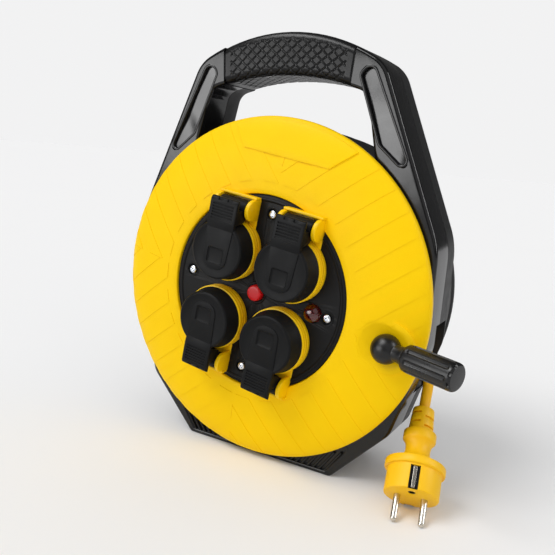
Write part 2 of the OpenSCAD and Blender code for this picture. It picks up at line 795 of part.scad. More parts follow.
module crank_grip() {
    color(black) at_reel() at_grip() translate([grip_start, 0, 0]) rotate([0, 90, 0]) {
        difference() {
            union() {
                translate([0, 0, 1.2]) cylinder(r = grip_r, h = grip_len - 2);
                cylinder(r1 = grip_r - 1, r2 = grip_r, h = 1.2 + eps);
                translate([0, 0, grip_len - 0.8]) cylinder(r1 = grip_r, r2 = grip_r - 0.8, h = 0.8);
            }
            translate([0, 0, -1]) cylinder(r = stem_r + run_gap, h = grip_len - 11);
            translate([0, 0, grip_len - 12.6]) cylinder(r = stem_r + 2, h = 7);
            for (a = [0:45:315]) rotate([0, 0, a]) {
                translate([grip_r + 0.7, 0, 4]) cylinder(r = 2, h = grip_len - 8.5);
                translate([grip_r + 1.6, 0, grip_len - 4]) cylinder(r = 2.6, h = 5);
            }
        }
    }
}

// ---------- lead and plug ----------
// Route of the free lead, from the drum's side through the right-hand wall to the plug
lead_route = [
    [117, 44, 6], [117, 44, -6], [118, 44, -17], [120, 44.5, -28], [122.5, 45.5, -39], [124.3, 46.3, -50],
    [125, 46, -60], [125.2, 43.5, -69], [126, 38.8, -76.8]
];
plug_at = lead_route[8];
plug_dir = unit([0.162, -0.704, -0.692]);
plug_across = unit([0.95, 0.30, 0] - plug_dir * ([0.95, 0.30, 0] * plug_dir));
boot_len = 19;
collar_len = 8;
neck_len = 17;
plug_flange_len = 6;
plug_body_len = 18;
pin_len = 19;
collar_at = boot_len;
neck_at = collar_at + collar_len;
flange_at = neck_at + neck_len;
body_at = flange_at + plug_flange_len;
plug_face = body_at + plug_body_len;
// Centripetal route between the chosen points
function route_point(p, t) =
    let (
        n = len(p) - 1, i = min(n - 1, floor(t * n)), f = t * n - i,
        a = p[max(i - 1, 0)], b = p[i], c = p[i + 1], d = p[min(i + 2, n)]
    )
    0.5 * ((2 * b) + (c - a) * f + (2 * a - 5 * b + 4 * c - d) * f * f + (3 * b - a - 3 * c + d) * f * f * f);
module at_plug() {
    v = cross(plug_dir, plug_across);
    translate(plug_at) multmatrix([
        [plug_across[0], v[0], plug_dir[0], 0], [plug_across[1], v[1], plug_dir[1], 0],
        [plug_across[2], v[2], plug_dir[2], 0], [0, 0, 0, 1]
    ]) children();
}
module cord_lead() {
    color(cord_yellow) at_axis() swept_tube([for (i = [0:10]) route_point(lead_route, i / 10)], cord_d, 8);
}
module plug_boot() {
    color(cord_yellow) at_axis() at_plug() difference() {
        rotate_extrude($fn = 48) polygon([[0, 0], [8, 0], [8.9, 1], [9.3, boot_len], [0, boot_len]]);
        for (k = [0:1]) for (s = [-1, 1])
            translate([s > 0 ? 1.5 : -12, -12, 4.4 + k * 7.6 + (s > 0 ? 3.2 : 0)]) difference() {
                cube([10.5, 24, 1.4]);
                translate([s > 0 ? -1.5 : 12, 12, -1]) cylinder(r = 6.6, h = 4);
            }
    }
}
module plug_body() {
    color(cord_yellow) at_axis() at_plug() difference() {
        union() {
            rotate_extrude($fn = 64) polygon([
                [0, collar_at], [11.2, collar_at], [12, collar_at + 0.8], [12, neck_at - 1.5], [10.4, neck_at],
                [9.2, neck_at + 3], [9, neck_at + 6], [9.8, neck_at + 9.5], [12.2, neck_at + 12.6],
                [16, neck_at + 15], [20.6, flange_at], [21.7, flange_at + 1.2], [21.7, body_at - 1],
                [21, body_at], [plug_r, body_at], [plug_r, plug_face - 1], [plug_r - 1, plug_face],
                [0, plug_face]
            ]);
        }
        for (s = [-1, 1]) {
            translate([s * pin_pitch / 2, 0, plug_face - 9]) cylinder(r = plug_pin_r - 0.3, h = 10);
            translate([-3.2, s > 0 ? plug_r - 1.6 : -plug_r - 1.4, body_at + 1]) cube([6.4, 3, plug_body_len]);
        }
        translate([0, 10, plug_face - 14]) cylinder(r = 2.6, h = 15);
    }
}
module plug_pins() {
    color(steel) at_axis() at_plug() for (s = [-1, 1]) translate([s * pin_pitch / 2, 0, plug_face - 9]) {
        cylinder(r = plug_pin_r - 0.3, h = 9);
        translate([0, 0, 9]) cylinder(r = plug_pin_r, h = pin_len - plug_pin_r);
        translate([0, 0, 9 + pin_len - plug_pin_r]) sphere(r = plug_pin_r);
    }
}
module plug_earth_clips() {
    color(steel) at_axis() at_plug() for (s = [-1, 1])
        translate([-2.8, s > 0 ? plug_r - 1.6 : -plug_r + 0.6, body_at + 1])
            cube([5.6, 1, plug_body_len - 1.5]);
}

front_shell();
rear_shell();
handle_grip();
housing_screws();
axle();
axle_washer();
axle_screw();
front_disc();
socket_plate();
plate_screws();
drum_barrel();
rear_flange();
barrel_screws();
cable_core();
cable_outer_layer();
socket_body(0);  // socket_1
socket_body(1);  // socket_2
socket_body(2);  // socket_3
socket_body(3);  // socket_4
socket_contacts(0);  // contacts_1
socket_contacts(1);  // contacts_2
socket_contacts(2);  // contacts_3
socket_contacts(3);  // contacts_4
lid(0);  // lid_1
lid(1);  // lid_2
lid(2);  // lid_3
lid(3);  // lid_4
lid_pin(0);  // lid_pin_1
lid_pin(1);  // lid_pin_2
lid_pin(2);  // lid_pin_3
lid_pin(3);  // lid_pin_4
cutout_body();
cutout_button();
lamp_base();
lamp_lens();
crank_pin();
crank_stem();
crank_grip();
cord_lead();
plug_body();
plug_boot();
plug_pins();
plug_earth_clips();
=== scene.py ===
# %% [markdown]
# # An enclosed extension cord reel
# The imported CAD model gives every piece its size, place and joint. This lesson dresses it: it
# models the moulded shells, the embossed drum face, the socket lids, the crank, the lead and
# the plug, and gives each surface a procedural finish. All lengths are in metres. +Z is up,
# +Y points to the back of the reel, and the origin is the middle of the base, on the floor.

# %% Load the frame
import bpy
import math
from mathutils import Matrix, Vector


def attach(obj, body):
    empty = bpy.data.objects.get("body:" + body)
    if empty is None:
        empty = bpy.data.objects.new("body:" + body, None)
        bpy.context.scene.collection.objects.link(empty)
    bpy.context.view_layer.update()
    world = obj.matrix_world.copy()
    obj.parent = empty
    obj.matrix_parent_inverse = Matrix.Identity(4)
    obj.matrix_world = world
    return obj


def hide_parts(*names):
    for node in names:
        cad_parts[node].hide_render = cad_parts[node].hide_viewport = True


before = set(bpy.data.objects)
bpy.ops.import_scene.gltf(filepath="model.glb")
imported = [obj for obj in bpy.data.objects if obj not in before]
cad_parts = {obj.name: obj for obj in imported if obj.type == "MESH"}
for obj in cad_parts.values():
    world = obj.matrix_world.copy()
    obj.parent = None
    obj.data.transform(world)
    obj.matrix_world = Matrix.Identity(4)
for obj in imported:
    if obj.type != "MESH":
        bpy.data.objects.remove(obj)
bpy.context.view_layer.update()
MM = 0.001
AXIS_HEIGHT = 0.138
RIM_PLANE = -0.041
REST_TURN = math.radians(8.5)

# %% [markdown]
# ## Camera
# The camera stands a little right of the reel and above it, turned slightly on its own axis.
# Its place and its three angles are enough: the two directions across the picture are worked
# out from them, and together they are the columns of the camera's matrix.

# %% Camera
CAMERA_PLACE = Vector((0.2514, -0.4753, 0.2412))
CAMERA_AZIMUTH = math.radians(28.87)
CAMERA_ELEVATION = math.radians(10.37)
CAMERA_ROLL = math.radians(4.5)
FOCAL_LENGTH_MM, SENSOR_WIDTH_MM = 42.7, 36
NEAREST_SEEN = 0.01

def new_object(name, data):
    thing = bpy.data.objects.new(name, data)
    bpy.context.scene.collection.objects.link(thing)
    return thing

def add_camera():
    sin_a, cos_a = math.sin(CAMERA_AZIMUTH), math.cos(CAMERA_AZIMUTH)
    sin_e, cos_e = math.sin(CAMERA_ELEVATION), math.cos(CAMERA_ELEVATION)
    back = Vector((sin_a * cos_e, -cos_a * cos_e, sin_e))
    right = Vector((cos_a, sin_a, 0))
    up = back.cross(right)
    rolled_right = right * math.cos(CAMERA_ROLL) + up * math.sin(CAMERA_ROLL)
    rolled_up = up * math.cos(CAMERA_ROLL) - right * math.sin(CAMERA_ROLL)
    data = bpy.data.cameras.new("camera")
    data.lens = FOCAL_LENGTH_MM
    data.sensor_width = SENSOR_WIDTH_MM
    data.clip_start = NEAREST_SEEN
    camera = new_object("camera", data)
    facing = Matrix((rolled_right, rolled_up, back)).transposed()
    camera.matrix_world = Matrix.Translation(CAMERA_PLACE) @ facing.to_4x4()
    bpy.context.scene.camera = camera

add_camera()
bpy.context.scene.view_settings.view_transform = "Standard"
print("camera:", tuple(CAMERA_PLACE), "lens:", FOCAL_LENGTH_MM, "mm")

# %% [markdown]
# ## Helpers for modelling
# Pieces are drawn in millimetres round the middle of the drum's rim, where a round part is
# simplest, and their place is then moved into their mesh, so that each object sits at the
# origin as the CAD nodes do. Two frames are used again and again: the drum's axis frame, and
# the same frame turned to the drum's rest angle.

# %% Frames and meshes
AXIS_FRAME = Matrix.Translation((0, RIM_PLANE, AXIS_HEIGHT))
REEL_FRAME = AXIS_FRAME @ Matrix.Rotation(REST_TURN, 4, "Y")
MICRON = 1e-6

def shift(x, y, z):
    """A move in millimetres, as a matrix."""
    return Matrix.Translation((x * MM, y * MM, z * MM))

def turned(degrees, axis):
    """A turn about an axis through the origin, as a matrix."""
    return Matrix.Rotation(math.radians(degrees), 4, axis)

def new_piece(name, corners, edges=(), faces=()):
    """A piece from points in metres and the edges or faces between them."""
    mesh = bpy.data.meshes.new(name)
    mesh.from_pydata(corners, edges, faces)
    return new_object(name, mesh)

def activate(piece):
    """Selects one piece and nothing else."""
    bpy.ops.object.select_all(action="DESELECT")
    piece.select_set(True)
    bpy.context.view_layer.objects.active = piece

def edit_all(piece):
    """Opens a piece in edit mode with all of it selected."""
    activate(piece)
    bpy.ops.object.mode_set(mode="EDIT")
    bpy.ops.mesh.select_all(action="SELECT")

def end_edit():
    bpy.ops.object.mode_set(mode="OBJECT")

def place_mesh(piece, matrix):
    """Moves a piece's mesh by a matrix, and leaves its object at the origin and unturned."""
    piece.data.transform(matrix @ piece.matrix_world)
    piece.matrix_world = Matrix.Identity(4)
    if matrix.determinant() < 0:
        piece.data.flip_normals()

def tidy_mesh(piece, merge=MICRON):
    """Merges doubles and makes all faces point outwards."""
    edit_all(piece)
    bpy.ops.mesh.remove_doubles(threshold=merge)
    bpy.ops.mesh.normals_make_consistent(inside=False)
    end_edit()

print("axis frame at", AXIS_FRAME.translation[:], "and reel frame turned", REST_TURN)

# %% [markdown]
# Two forms make nearly every part of a moulded object: an outline pushed to a thickness, and a
# profile spun about an axis. Both start as a few points, and the extrude and spin operators
# give them their body.

# %% Extruded and spun forms
def outline_plate(name, points, y_front, y_back):
    """An outline in X and Z, in mm, as a face that is extruded from y_front to y_back."""
    corners = [(x * MM, y_front * MM, z * MM) for x, z in points]
    piece = new_piece(name, corners, faces=[list(range(len(corners)))])
    edit_all(piece)
    thickness = (0, (y_back - y_front) * MM, 0)
    bpy.ops.mesh.extrude_region_move(TRANSFORM_OT_translate={"value": thickness})
    end_edit()
    tidy_mesh(piece)
    return piece

def spun(name, profile, steps=96):
    """A profile of (radius, depth) points in mm, spun about the Y axis into a closed shell."""
    corners = [(r * MM, y * MM, 0) for r, y in profile]
    piece = new_piece(name, corners, edges=[(i, i + 1) for i in range(len(corners) - 1)])
    edit_all(piece)
    bpy.ops.mesh.spin(steps=steps, angle=2 * math.pi, center=(0, 0, 0), axis=(0, 1, 0))
    end_edit()
    tidy_mesh(piece, merge=2 * MICRON)
    return piece

def arc_profile(radius, height, middle, degrees):
    """The (radius, depth) points of a round end, which rises by height from its middle plane."""
    angles = [math.radians(a) for a in degrees]
    return [(radius * math.sin(a), middle + height * math.cos(a)) for a in angles]

print("forms: outline_plate and spun, with arc_profile for round ends")

# %% [markdown]
# The rest of a maker's work is cutting, joining, softening edges and copying. Each is one
# modifier or operator, applied at once, so that the next step works on plain mesh.

# %% Cuts, bevels and copies
def apply_modifiers(piece):
    activate(piece)
    for modifier in list(piece.modifiers):
        bpy.ops.object.modifier_apply(modifier=modifier.name)

def cut(piece, cutter, mode="DIFFERENCE"):
    """Takes the cutter away from the piece, or unites or intersects them, and uses it up."""
    modifier = piece.modifiers.new("cut", "BOOLEAN")
    modifier.operation = mode
    modifier.object = cutter
    modifier.solver = "EXACT"
    apply_modifiers(piece)
    bpy.data.objects.remove(cutter)

def bevel(piece, width, segments=3, degrees=40):
    """Bevels all edges sharper than an angle, by a width in mm."""
    modifier = piece.modifiers.new("bevel", "BEVEL")
    modifier.width = width * MM
    modifier.segments = segments
    modifier.limit_method = "ANGLE"
    modifier.angle_limit = math.radians(degrees)
    apply_modifiers(piece)

def smooth(piece, degrees=35):
    activate(piece)
    bpy.ops.object.shade_smooth_by_angle(angle=math.radians(degrees))

def soften(piece, width, segments, bevel_from, smooth_below):
    """Bevels the edges sharper than one angle, and shades smooth those flatter than another."""
    bevel(piece, width, segments, bevel_from)
    smooth(piece, smooth_below)
    return piece

def join(pieces, name):
    activate(pieces[0])
    for piece in pieces[1:]:
        piece.select_set(True)
    bpy.ops.object.join()
    pieces[0].name = name
    pieces[0].data.name = name
    return pieces[0]

def twin(piece, name, matrix):
    """A copy with its own mesh, moved by a matrix."""
    copy = new_object(name, piece.data.copy())
    place_mesh(copy, matrix)
    return copy

def box_between(name, low, high):
    """A box between two corners in mm."""
    bpy.ops.mesh.primitive_cube_add(size=1)
    block = bpy.context.object
    block.name = name
    block.scale = [(b - a) * MM for a, b in zip(low, high)]
    block.location = [(a + b) / 2 * MM for a, b in zip(low, high)]
    bpy.ops.object.transform_apply(location=True, rotation=True, scale=True)
    return block

def ring_cutter(name, radius, y0, y1, steps=192):
    """A solid cylinder about the Y axis, for round holes and bosses."""
    bpy.ops.mesh.primitive_cylinder_add(
        vertices=steps, radius=radius * MM, depth=(y1 - y0) * MM,
        location=(0, (y0 + y1) / 2 * MM, 0), rotation=(math.pi / 2, 0, 0))
    cutter = bpy.context.object
    cutter.name = name
    place_mesh(cutter, Matrix.Identity(4))
    return cutter

def drilled(piece, x, z, radius, y0, y1, steps=64):
    """Drills a round hole along Y."""
    hole = ring_cutter("hole", radius, y0, y1, steps)
    place_mesh(hole, shift(x, 0, z))
    cut(piece, hole)

def sphere_at(radius, matrix, segments=96):
    bpy.ops.mesh.primitive_uv_sphere_add(segments=segments, ring_count=segments // 2, radius=radius * MM)
    ball = bpy.context.object
    place_mesh(ball, matrix)
    return ball

def rod(radius, length, matrix, sides=64):
    """A rod from the frame's origin along its X axis."""
    bpy.ops.mesh.primitive_cylinder_add(vertices=sides, radius=radius * MM, depth=length * MM)
    piece = bpy.context.object
    place_mesh(piece, matrix @ turned(90, "Y") @ shift(0, 0, length / 2))
    return piece

print("tools: cut, bevel, smooth, join, twin, and box, cylinder, sphere and rod to cut with")

# %% [markdown]
# ## Finishes
# Moulded plastic is never one flat colour. Each finish here starts from the shader's own
# settings and adds three things from noise on the object's own coordinates: a slight drift of
# the colour, a drift of the roughness, and a fine bump at the size of real mould grain.

# %% Finish helpers
BLOTCH_SCALE, WIPE_SCALE = 38, 90
GRAIN_STRENGTH, WAVE_STRENGTH = 0.6, 0.5

def feed(tree, node, **inputs):
    """Gives a node's inputs, named with _ for a space, a value or another node's output."""
    for name, value in inputs.items():
        socket = node.inputs[name.replace("_", " ")]
        if isinstance(value, bpy.types.NodeSocket):
            tree.links.new(value, socket)
        else:
            socket.default_value = value
    return node

def add_node(tree, kind, **inputs):
    return feed(tree, tree.nodes.new("ShaderNode" + kind), **inputs)

def node_material(name):
    material = bpy.data.materials.new(name)
    material.use_nodes = True
    tree = material.node_tree
    place = add_node(tree, "TexCoord").outputs["Object"]
    return material, tree, tree.nodes["Principled BSDF"], place

def noise(tree, place, scale, detail, roughness=0.55):
    return add_node(tree, "TexNoise", Vector=place, Scale=scale, Detail=detail,
                    Roughness=roughness).outputs["Fac"]

def colour_mix(tree, share, first, second):
    """Blends two linear colours."""
    mix = tree.nodes.new("ShaderNodeMix")
    mix.data_type = "RGBA"
    return feed(tree, mix, Factor=share, A=(*first, 1), B=(*second, 1)).outputs["Result"]

def bump(tree, height, distance, strength):
    return add_node(tree, "Bump", Height=height, Distance=distance, Strength=strength)

def moulded(name, colour, drift, roughness, rough_drift, grain_scale, grain_depth, metallic=0.0,
            specular=0.5, wave_scale=45, wave_depth=0.0):
    """A moulded or metal finish: colour and drift are linear colours, scales are per metre."""
    material, tree, shader, place = node_material(name)
    wipe = add_node(tree, "MapRange", Value=noise(tree, place, WIPE_SCALE, 5), From_Min=0.3,
                    From_Max=0.7, To_Min=roughness - rough_drift, To_Max=roughness + rough_drift)
    relief = bump(tree, noise(tree, place, grain_scale, 2), grain_depth, GRAIN_STRENGTH)
    if wave_depth > 0:
        wave = bump(tree, noise(tree, place, wave_scale, 1), wave_depth, WAVE_STRENGTH)
        relief = feed(tree, wave, Normal=relief.outputs["Normal"])
    feed(tree, shader, Metallic=metallic, Specular_IOR_Level=specular,
         Base_Color=colour_mix(tree, noise(tree, place, BLOTCH_SCALE, 4), colour, drift),
         Roughness=wipe.outputs["Result"], Normal=relief.outputs["Normal"])
    return material

print("blotches and wipes per metre:", BLOTCH_SCALE, WIPE_SCALE)

# %% [markdown]
# One table holds all finishes, so that they can be compared at a glance: soft rubbers are
# rough and hardly shine, the shell is glossy with a slow wave in it, and the metals differ in
# tone and roughness only.

# %% Finishes
# name: colour, drift, roughness, its drift, grains per metre, grain depth, what else differs
FINISH_TABLE = {
    "disc_yellow": ((0.985, 0.640, 0.001), (0.945, 0.590, 0.001), 0.46, 0.06, 2600, 0.00004,
                    {"specular": 0.07}),
    "socket_yellow": ((0.97, 0.62, 0.001), (0.94, 0.57, 0.001), 0.36, 0.05, 2200, 0.00003,
                      {"specular": 0.18}),
    "cable_orange": ((0.95, 0.52, 0.003), (0.90, 0.46, 0.003), 0.42, 0.06, 1500, 0.00005,
                     {"specular": 0.25}),
    "plug_orange": ((0.97, 0.565, 0.003), (0.94, 0.515, 0.003), 0.42, 0.05, 2400, 0.00004,
                    {"specular": 0.22}),
    "shell_black": ((0.005, 0.005, 0.0053), (0.0075, 0.0075, 0.008), 0.15, 0.04, 1500, 0.00002,
                    {"specular": 0.38, "wave_depth": 0.0003}),
    "panel_gloss": ((0.006, 0.006, 0.0064), (0.009, 0.009, 0.0096), 0.17, 0.04, 900, 0.00001,
                    {"specular": 0.6, "wave_scale": 14, "wave_depth": 0.05}),
    "rear_black": ((0.014, 0.014, 0.0145), (0.019, 0.019, 0.0195), 0.50, 0.06, 2800, 0.00006,
                   {"specular": 0.3}),
    "grip_rubber": ((0.005, 0.005, 0.0053), (0.0075, 0.0075, 0.008), 0.30, 0.05, 1800, 0.00004,
                    {"specular": 0.2}),
    "plate_black": ((0.006, 0.006, 0.0064), (0.009, 0.009, 0.0094), 0.42, 0.06, 2400, 0.00005,
                    {"specular": 0.12}),
    "lid_rubber": ((0.0062, 0.0064, 0.0068), (0.0092, 0.0095, 0.0100), 0.44, 0.07, 2600, 0.00006,
                   {"specular": 0.09}),
    "crank_black": ((0.006, 0.006, 0.0064), (0.009, 0.009, 0.0096), 0.30, 0.05, 1700, 0.00003,
                    {"specular": 0.35}),
    "button_red": ((0.80, 0.012, 0.018), (0.70, 0.009, 0.013), 0.34, 0.04, 2000, 0.00002,
                   {"specular": 0.3}),
    "zinc": ((0.72, 0.74, 0.78), (0.60, 0.63, 0.68), 0.26, 0.08, 900, 0.00003, {"metallic": 1.0}),
    "steel": ((0.50, 0.50, 0.51), (0.42, 0.42, 0.43), 0.32, 0.08, 1200, 0.00003, {"metallic": 1.0}),
    "nickel": ((0.66, 0.62, 0.55), (0.58, 0.54, 0.48), 0.20, 0.05, 700, 0.00002, {"metallic": 1.0}),
    "brass": ((0.72, 0.50, 0.20), (0.62, 0.42, 0.16), 0.30, 0.06, 900, 0.00002, {"metallic": 1.0})}
FINISHES = {name: moulded(name, *row, **extras) for name, (*row, extras) in FINISH_TABLE.items()}
print("finishes:", len(FINISHES))

# %% [markdown]
# Two finishes need more. The drum face carries fine drawn lines at 45 degrees in each quarter:
# a noise that is squeezed across the lines and stretched along them. The lamp is clear red
# plastic, so light passes through it and its edges glow deeper.

# %% Drawn lines and the lamp's lens
STREAKS_ACROSS, STREAKS_ALONG, STREAK_DEPTH = 750, 22, 0.00012
LENS_LIGHT, LENS_DARK = (0.42, 0.003, 0.010), (0.30, 0.002, 0.007)

def add_streaks(material):
    """Fine drawn lines in each quarter of the drum face, as bump on top of the finish."""
    tree = material.node_tree
    shader = tree.nodes["Principled BSDF"]
    to_drum = add_node(tree, "Mapping")
    to_drum.vector_type = "TEXTURE"
    feed(tree, to_drum, Vector=add_node(tree, "TexCoord").outputs["Object"],
         Location=(0, 0, AXIS_HEIGHT), Rotation=(0, REST_TURN, 0))
    split = add_node(tree, "SeparateXYZ", Vector=to_drum.outputs["Vector"])

    def calculate(operation, *terms):
        node = tree.nodes.new("ShaderNodeMath")
        node.operation = operation
        for socket, term in zip(node.inputs, terms):
            if isinstance(term, bpy.types.NodeSocket):
                tree.links.new(term, socket)
            else:
                socket.default_value = term
        return node.outputs["Value"]

    x = calculate("ABSOLUTE", split.outputs["X"])
    z = calculate("ABSOLUTE", split.outputs["Z"])
    lines = add_node(tree, "CombineXYZ",
                     X=calculate("MULTIPLY", calculate("SUBTRACT", x, z), STREAKS_ACROSS),
                     Y=calculate("MULTIPLY", calculate("ADD", x, z), STREAKS_ALONG))
    streaks = bump(tree, noise(tree, lines.outputs["Vector"], 1, 2, 0.5), STREAK_DEPTH, 0.5)
    feed(tree, streaks, Normal=shader.inputs["Normal"].links[0].from_socket)
    feed(tree, shader, Normal=streaks.outputs["Normal"])

def lens_material():
    material, tree, shader, place = node_material("lens_red")
    feed(tree, shader, Transmission_Weight=0.9, IOR=1.49, Roughness=0.03, Coat_Weight=0.6,
         Base_Color=colour_mix(tree, noise(tree, place, 300, 2), LENS_LIGHT, LENS_DARK))
    return material

add_streaks(FINISHES["disc_yellow"])
FINISHES["lens_red"] = lens_material()
print("finishes with the lens:", len(FINISHES))

# %% [markdown]
# ## The lead
# The lead is the loose end of the wound cable. It leaves the drum's chamber through the right
# wall of the housing and ends at the plug, so its route is the one thing that everything else
# has to leave free. A tube is swept along the route: one ring of points at each step, joined
# to the next. A bezier curve with a round bevel would do too; a mesh tube keeps its exact length.

# %% The lead
LEAD_DIAMETER = 0.0082
LEAD_SHARE = 0.985
LEAD_ROUTE_MM = [
    (117, 44, 6), (117, 44, -6), (118, 44, -17), (120, 44.5, -28), (122.5, 45.5, -39),
    (124.3, 46.3, -50), (125, 46, -60), (125.2, 43.5, -69), (126, 38.8, -76.8)]

def from_axis(x, y, z):
    """A point in millimetres from the drum's rim centre, in the shared frame in metres."""
    return Vector((x * MM, y * MM + RIM_PLANE, z * MM + AXIS_HEIGHT))

def smooth_route(points, steps):
    """Points along a smooth line through the chosen ones."""
    last = len(points) - 1
    route = []
    for step in range(steps + 1):
        place = step / steps * last
        i = min(last - 1, int(place))
        f = place - i
        a, b = points[max(i - 1, 0)], points[i]
        c, d = points[i + 1], points[min(i + 2, last)]
        route.append(0.5 * (2 * b + (c - a) * f + (2 * a - 5 * b + 4 * c - d) * f * f
                            + (3 * b - a - 3 * c + d) * f * f * f))
    return route

def tube(name, route, radius, sides=24, closed=False, flat=1.0):
    """A tube along a route. flat squeezes its section along Y."""
    count = len(route)
    corners, faces = [], []
    for i, point in enumerate(route):
        before = route[i - 1] if i > 0 or closed else point
        after = route[(i + 1) % count] if i < count - 1 or closed else point
        along = (after - before).normalized()
        u = along.cross(Vector((0, 1, 0)))
        if u.length < 1e-4:
            u = along.cross(Vector((1, 0, 0)))
        u.normalize()
        v = along.cross(u)
        for k in range(sides):
            angle = 2 * math.pi * k / sides
            corners.append(point + u * radius * math.cos(angle) + v * radius * flat * math.sin(angle))
    for i in range(count if closed else count - 1):
        for k in range(sides):
            a, b = i * sides + k, i * sides + (k + 1) % sides
            c, d = (i + 1) % count * sides + (k + 1) % sides, (i + 1) % count * sides + k
            faces.append((a, b, c, d))
    if not closed:
        faces.append(tuple(range(sides - 1, -1, -1)))
        faces.append(tuple((count - 1) * sides + k for k in range(sides)))
    piece = new_piece(name, corners, faces=faces)
    tidy_mesh(piece)
    return piece

lead_points = [from_axis(*p) for p in LEAD_ROUTE_MM]
lead_line = smooth_route(lead_points, 64)
lead = tube("lead", lead_line, LEAD_DIAMETER / 2 * LEAD_SHARE, 32)
smooth(lead)

# %% [markdown]
# ## Floor
# A pale seamless floor under an even light: two distant soft lights and a pale sky keep the
# floor's tone the same everywhere, so that it meets the backdrop without a line. The sky has
# three faces: the camera sees the backdrop's tone, glossy surfaces see a dim room, and all
# else is lit by a soft studio.

# %% Floor and sky
FLOOR_TONE, BACKDROP_TONE = 0.86, 0.888
WORLD_LIGHT, ROOM_SHINE = 0.62, 0.10
FLOOR_SIZE = 60

def add_floor():
    bpy.ops.mesh.primitive_plane_add(size=FLOOR_SIZE, location=(0, 0, 0))
    floor = bpy.context.object
    floor.name = "floor"
    material, tree, shader, place = node_material("floor_white")
    low = (FLOOR_TONE, FLOOR_TONE, FLOOR_TONE * 1.004)
    high = (FLOOR_TONE * 1.006, FLOOR_TONE * 1.006, FLOOR_TONE * 1.01)
    feed(tree, shader, Roughness=1.0, Specular_IOR_Level=0.0,
         Base_Color=colour_mix(tree, noise(tree, place, 3, 2), low, high))
    floor.data.materials.append(material)

def shader_mix(tree, share, first, second):
    mix = add_node(tree, "MixShader", Fac=share)
    tree.links.new(first.outputs[0], mix.inputs[1])
    tree.links.new(second.outputs[0], mix.inputs[2])
    return mix

def add_world():
    world = bpy.data.worlds.new("studio")
    bpy.context.scene.world = world
    world.use_nodes = True
    tree = world.node_tree
    light = feed(tree, tree.nodes["Background"], Color=(1, 1, 1, 1), Strength=WORLD_LIGHT)
    backdrop = add_node(tree, "Background", Color=(BACKDROP_TONE, BACKDROP_TONE, BACKDROP_TONE * 1.004, 1))
    room = add_node(tree, "Background", Strength=ROOM_SHINE)
    ray = add_node(tree, "LightPath").outputs
    unseen = shader_mix(tree, ray["Is Glossy Ray"], light, room)
    everything = shader_mix(tree, ray["Is Camera Ray"], unseen, backdrop)
    feed(tree, tree.nodes["World Output"], Surface=everything.outputs["Shader"])

add_floor()
add_world()
print("floor and backdrop tones:", FLOOR_TONE, BACKDROP_TONE)

# %% [markdown]
# ## Light
# Four soft boxes are seen only in reflections. They draw long highlights on the glossy
# housing, which is what makes black plastic readable at all.

# %% Light
AIM = (0, 0, 0.16)

def add_light(name, kind, energy, rotation):
    data = bpy.data.lights.new(name, kind)
    data.energy = energy
    lamp = new_object(name, data)
    lamp.rotation_euler = rotation.to_euler()
    return lamp

def add_softbox(name, place, aim, size, watts):
    lamp = add_light(name, "AREA", watts, (Vector(aim) - Vector(place)).to_track_quat("-Z", "Y"))
    lamp.location = place
    lamp.data.shape = "RECTANGLE"
    lamp.data.size, lamp.data.size_y = size
    lamp.visible_diffuse = False

def add_sun(name, place, strength, spread):
    """A distant soft light from a place's direction: it lights the whole floor evenly."""
    lamp = add_light(name, "SUN", strength, Vector(place).to_track_quat("Z", "Y"))
    lamp.data.angle = math.radians(spread)

add_sun("key", (-0.75, -0.95, 1.5), 1.36, 30)
add_sun("fill", (0.9, -1.0, 0.9), 0.45, 60)
add_softbox("left_softbox", (-0.48, -0.92, 0.38), (0, 0, 0.28), (0.75, 0.36), 4.6)
add_softbox("low_softbox", (-0.52, -0.98, 0.12), (0, 0, 0.29), (0.6, 0.16), 1.3)
add_softbox("top_softbox", (-0.25, -0.35, 1.15), AIM, (0.9, 0.25), 5)
add_softbox("right_softbox", (1.0, 0.1, 0.65), AIM, (0.2, 0.8), 5)

# %% [markdown]
# ## Outlines with round corners
# The housing's outline is a short list of corners, each with a radius. Each corner becomes an
# arc that meets both its sides smoothly. The left side is the right one's mirror image.

# %% Outlines
SHORTEST_SIDE = 0.12

def rounded(corners, step=4):
    """Corners (x, z, radius) in mm to the points of an outline with round corners."""
    points = []
    count = len(corners)
    for i, (x, z, radius) in enumerate(corners):
        here = Vector((x, z))
        if radius == 0:
            points.append(here)
            continue
        u = (Vector(corners[i - 1][:2]) - here).normalized()
        w = (Vector(corners[(i + 1) % count][:2]) - here).normalized()
        half = u.angle(w) / 2
        middle = here + (u + w).normalized() * radius / math.sin(half)
        start = here + u * radius / math.tan(half)
        first = math.atan2(start.y - middle.y, start.x - middle.x)
        bend = math.pi - 2 * half
        side = 1 if w.x * u.y - w.y * u.x > 0 else -1
        steps = max(1, math.ceil(math.degrees(bend) / step))
        for k in range(steps + 1):
            angle = first + side * bend * k / steps
            points.append(middle + radius * Vector((math.cos(angle), math.sin(angle))))
    return [p for i, p in enumerate(points) if (p - points[i - 1]).length > SHORTEST_SIDE]

def both_sides(half):
    return half + [(-x, z, r) for x, z, r in reversed(half)]

def mirrored(points):
    return [Vector((-x, z)) for x, z in reversed(points)]

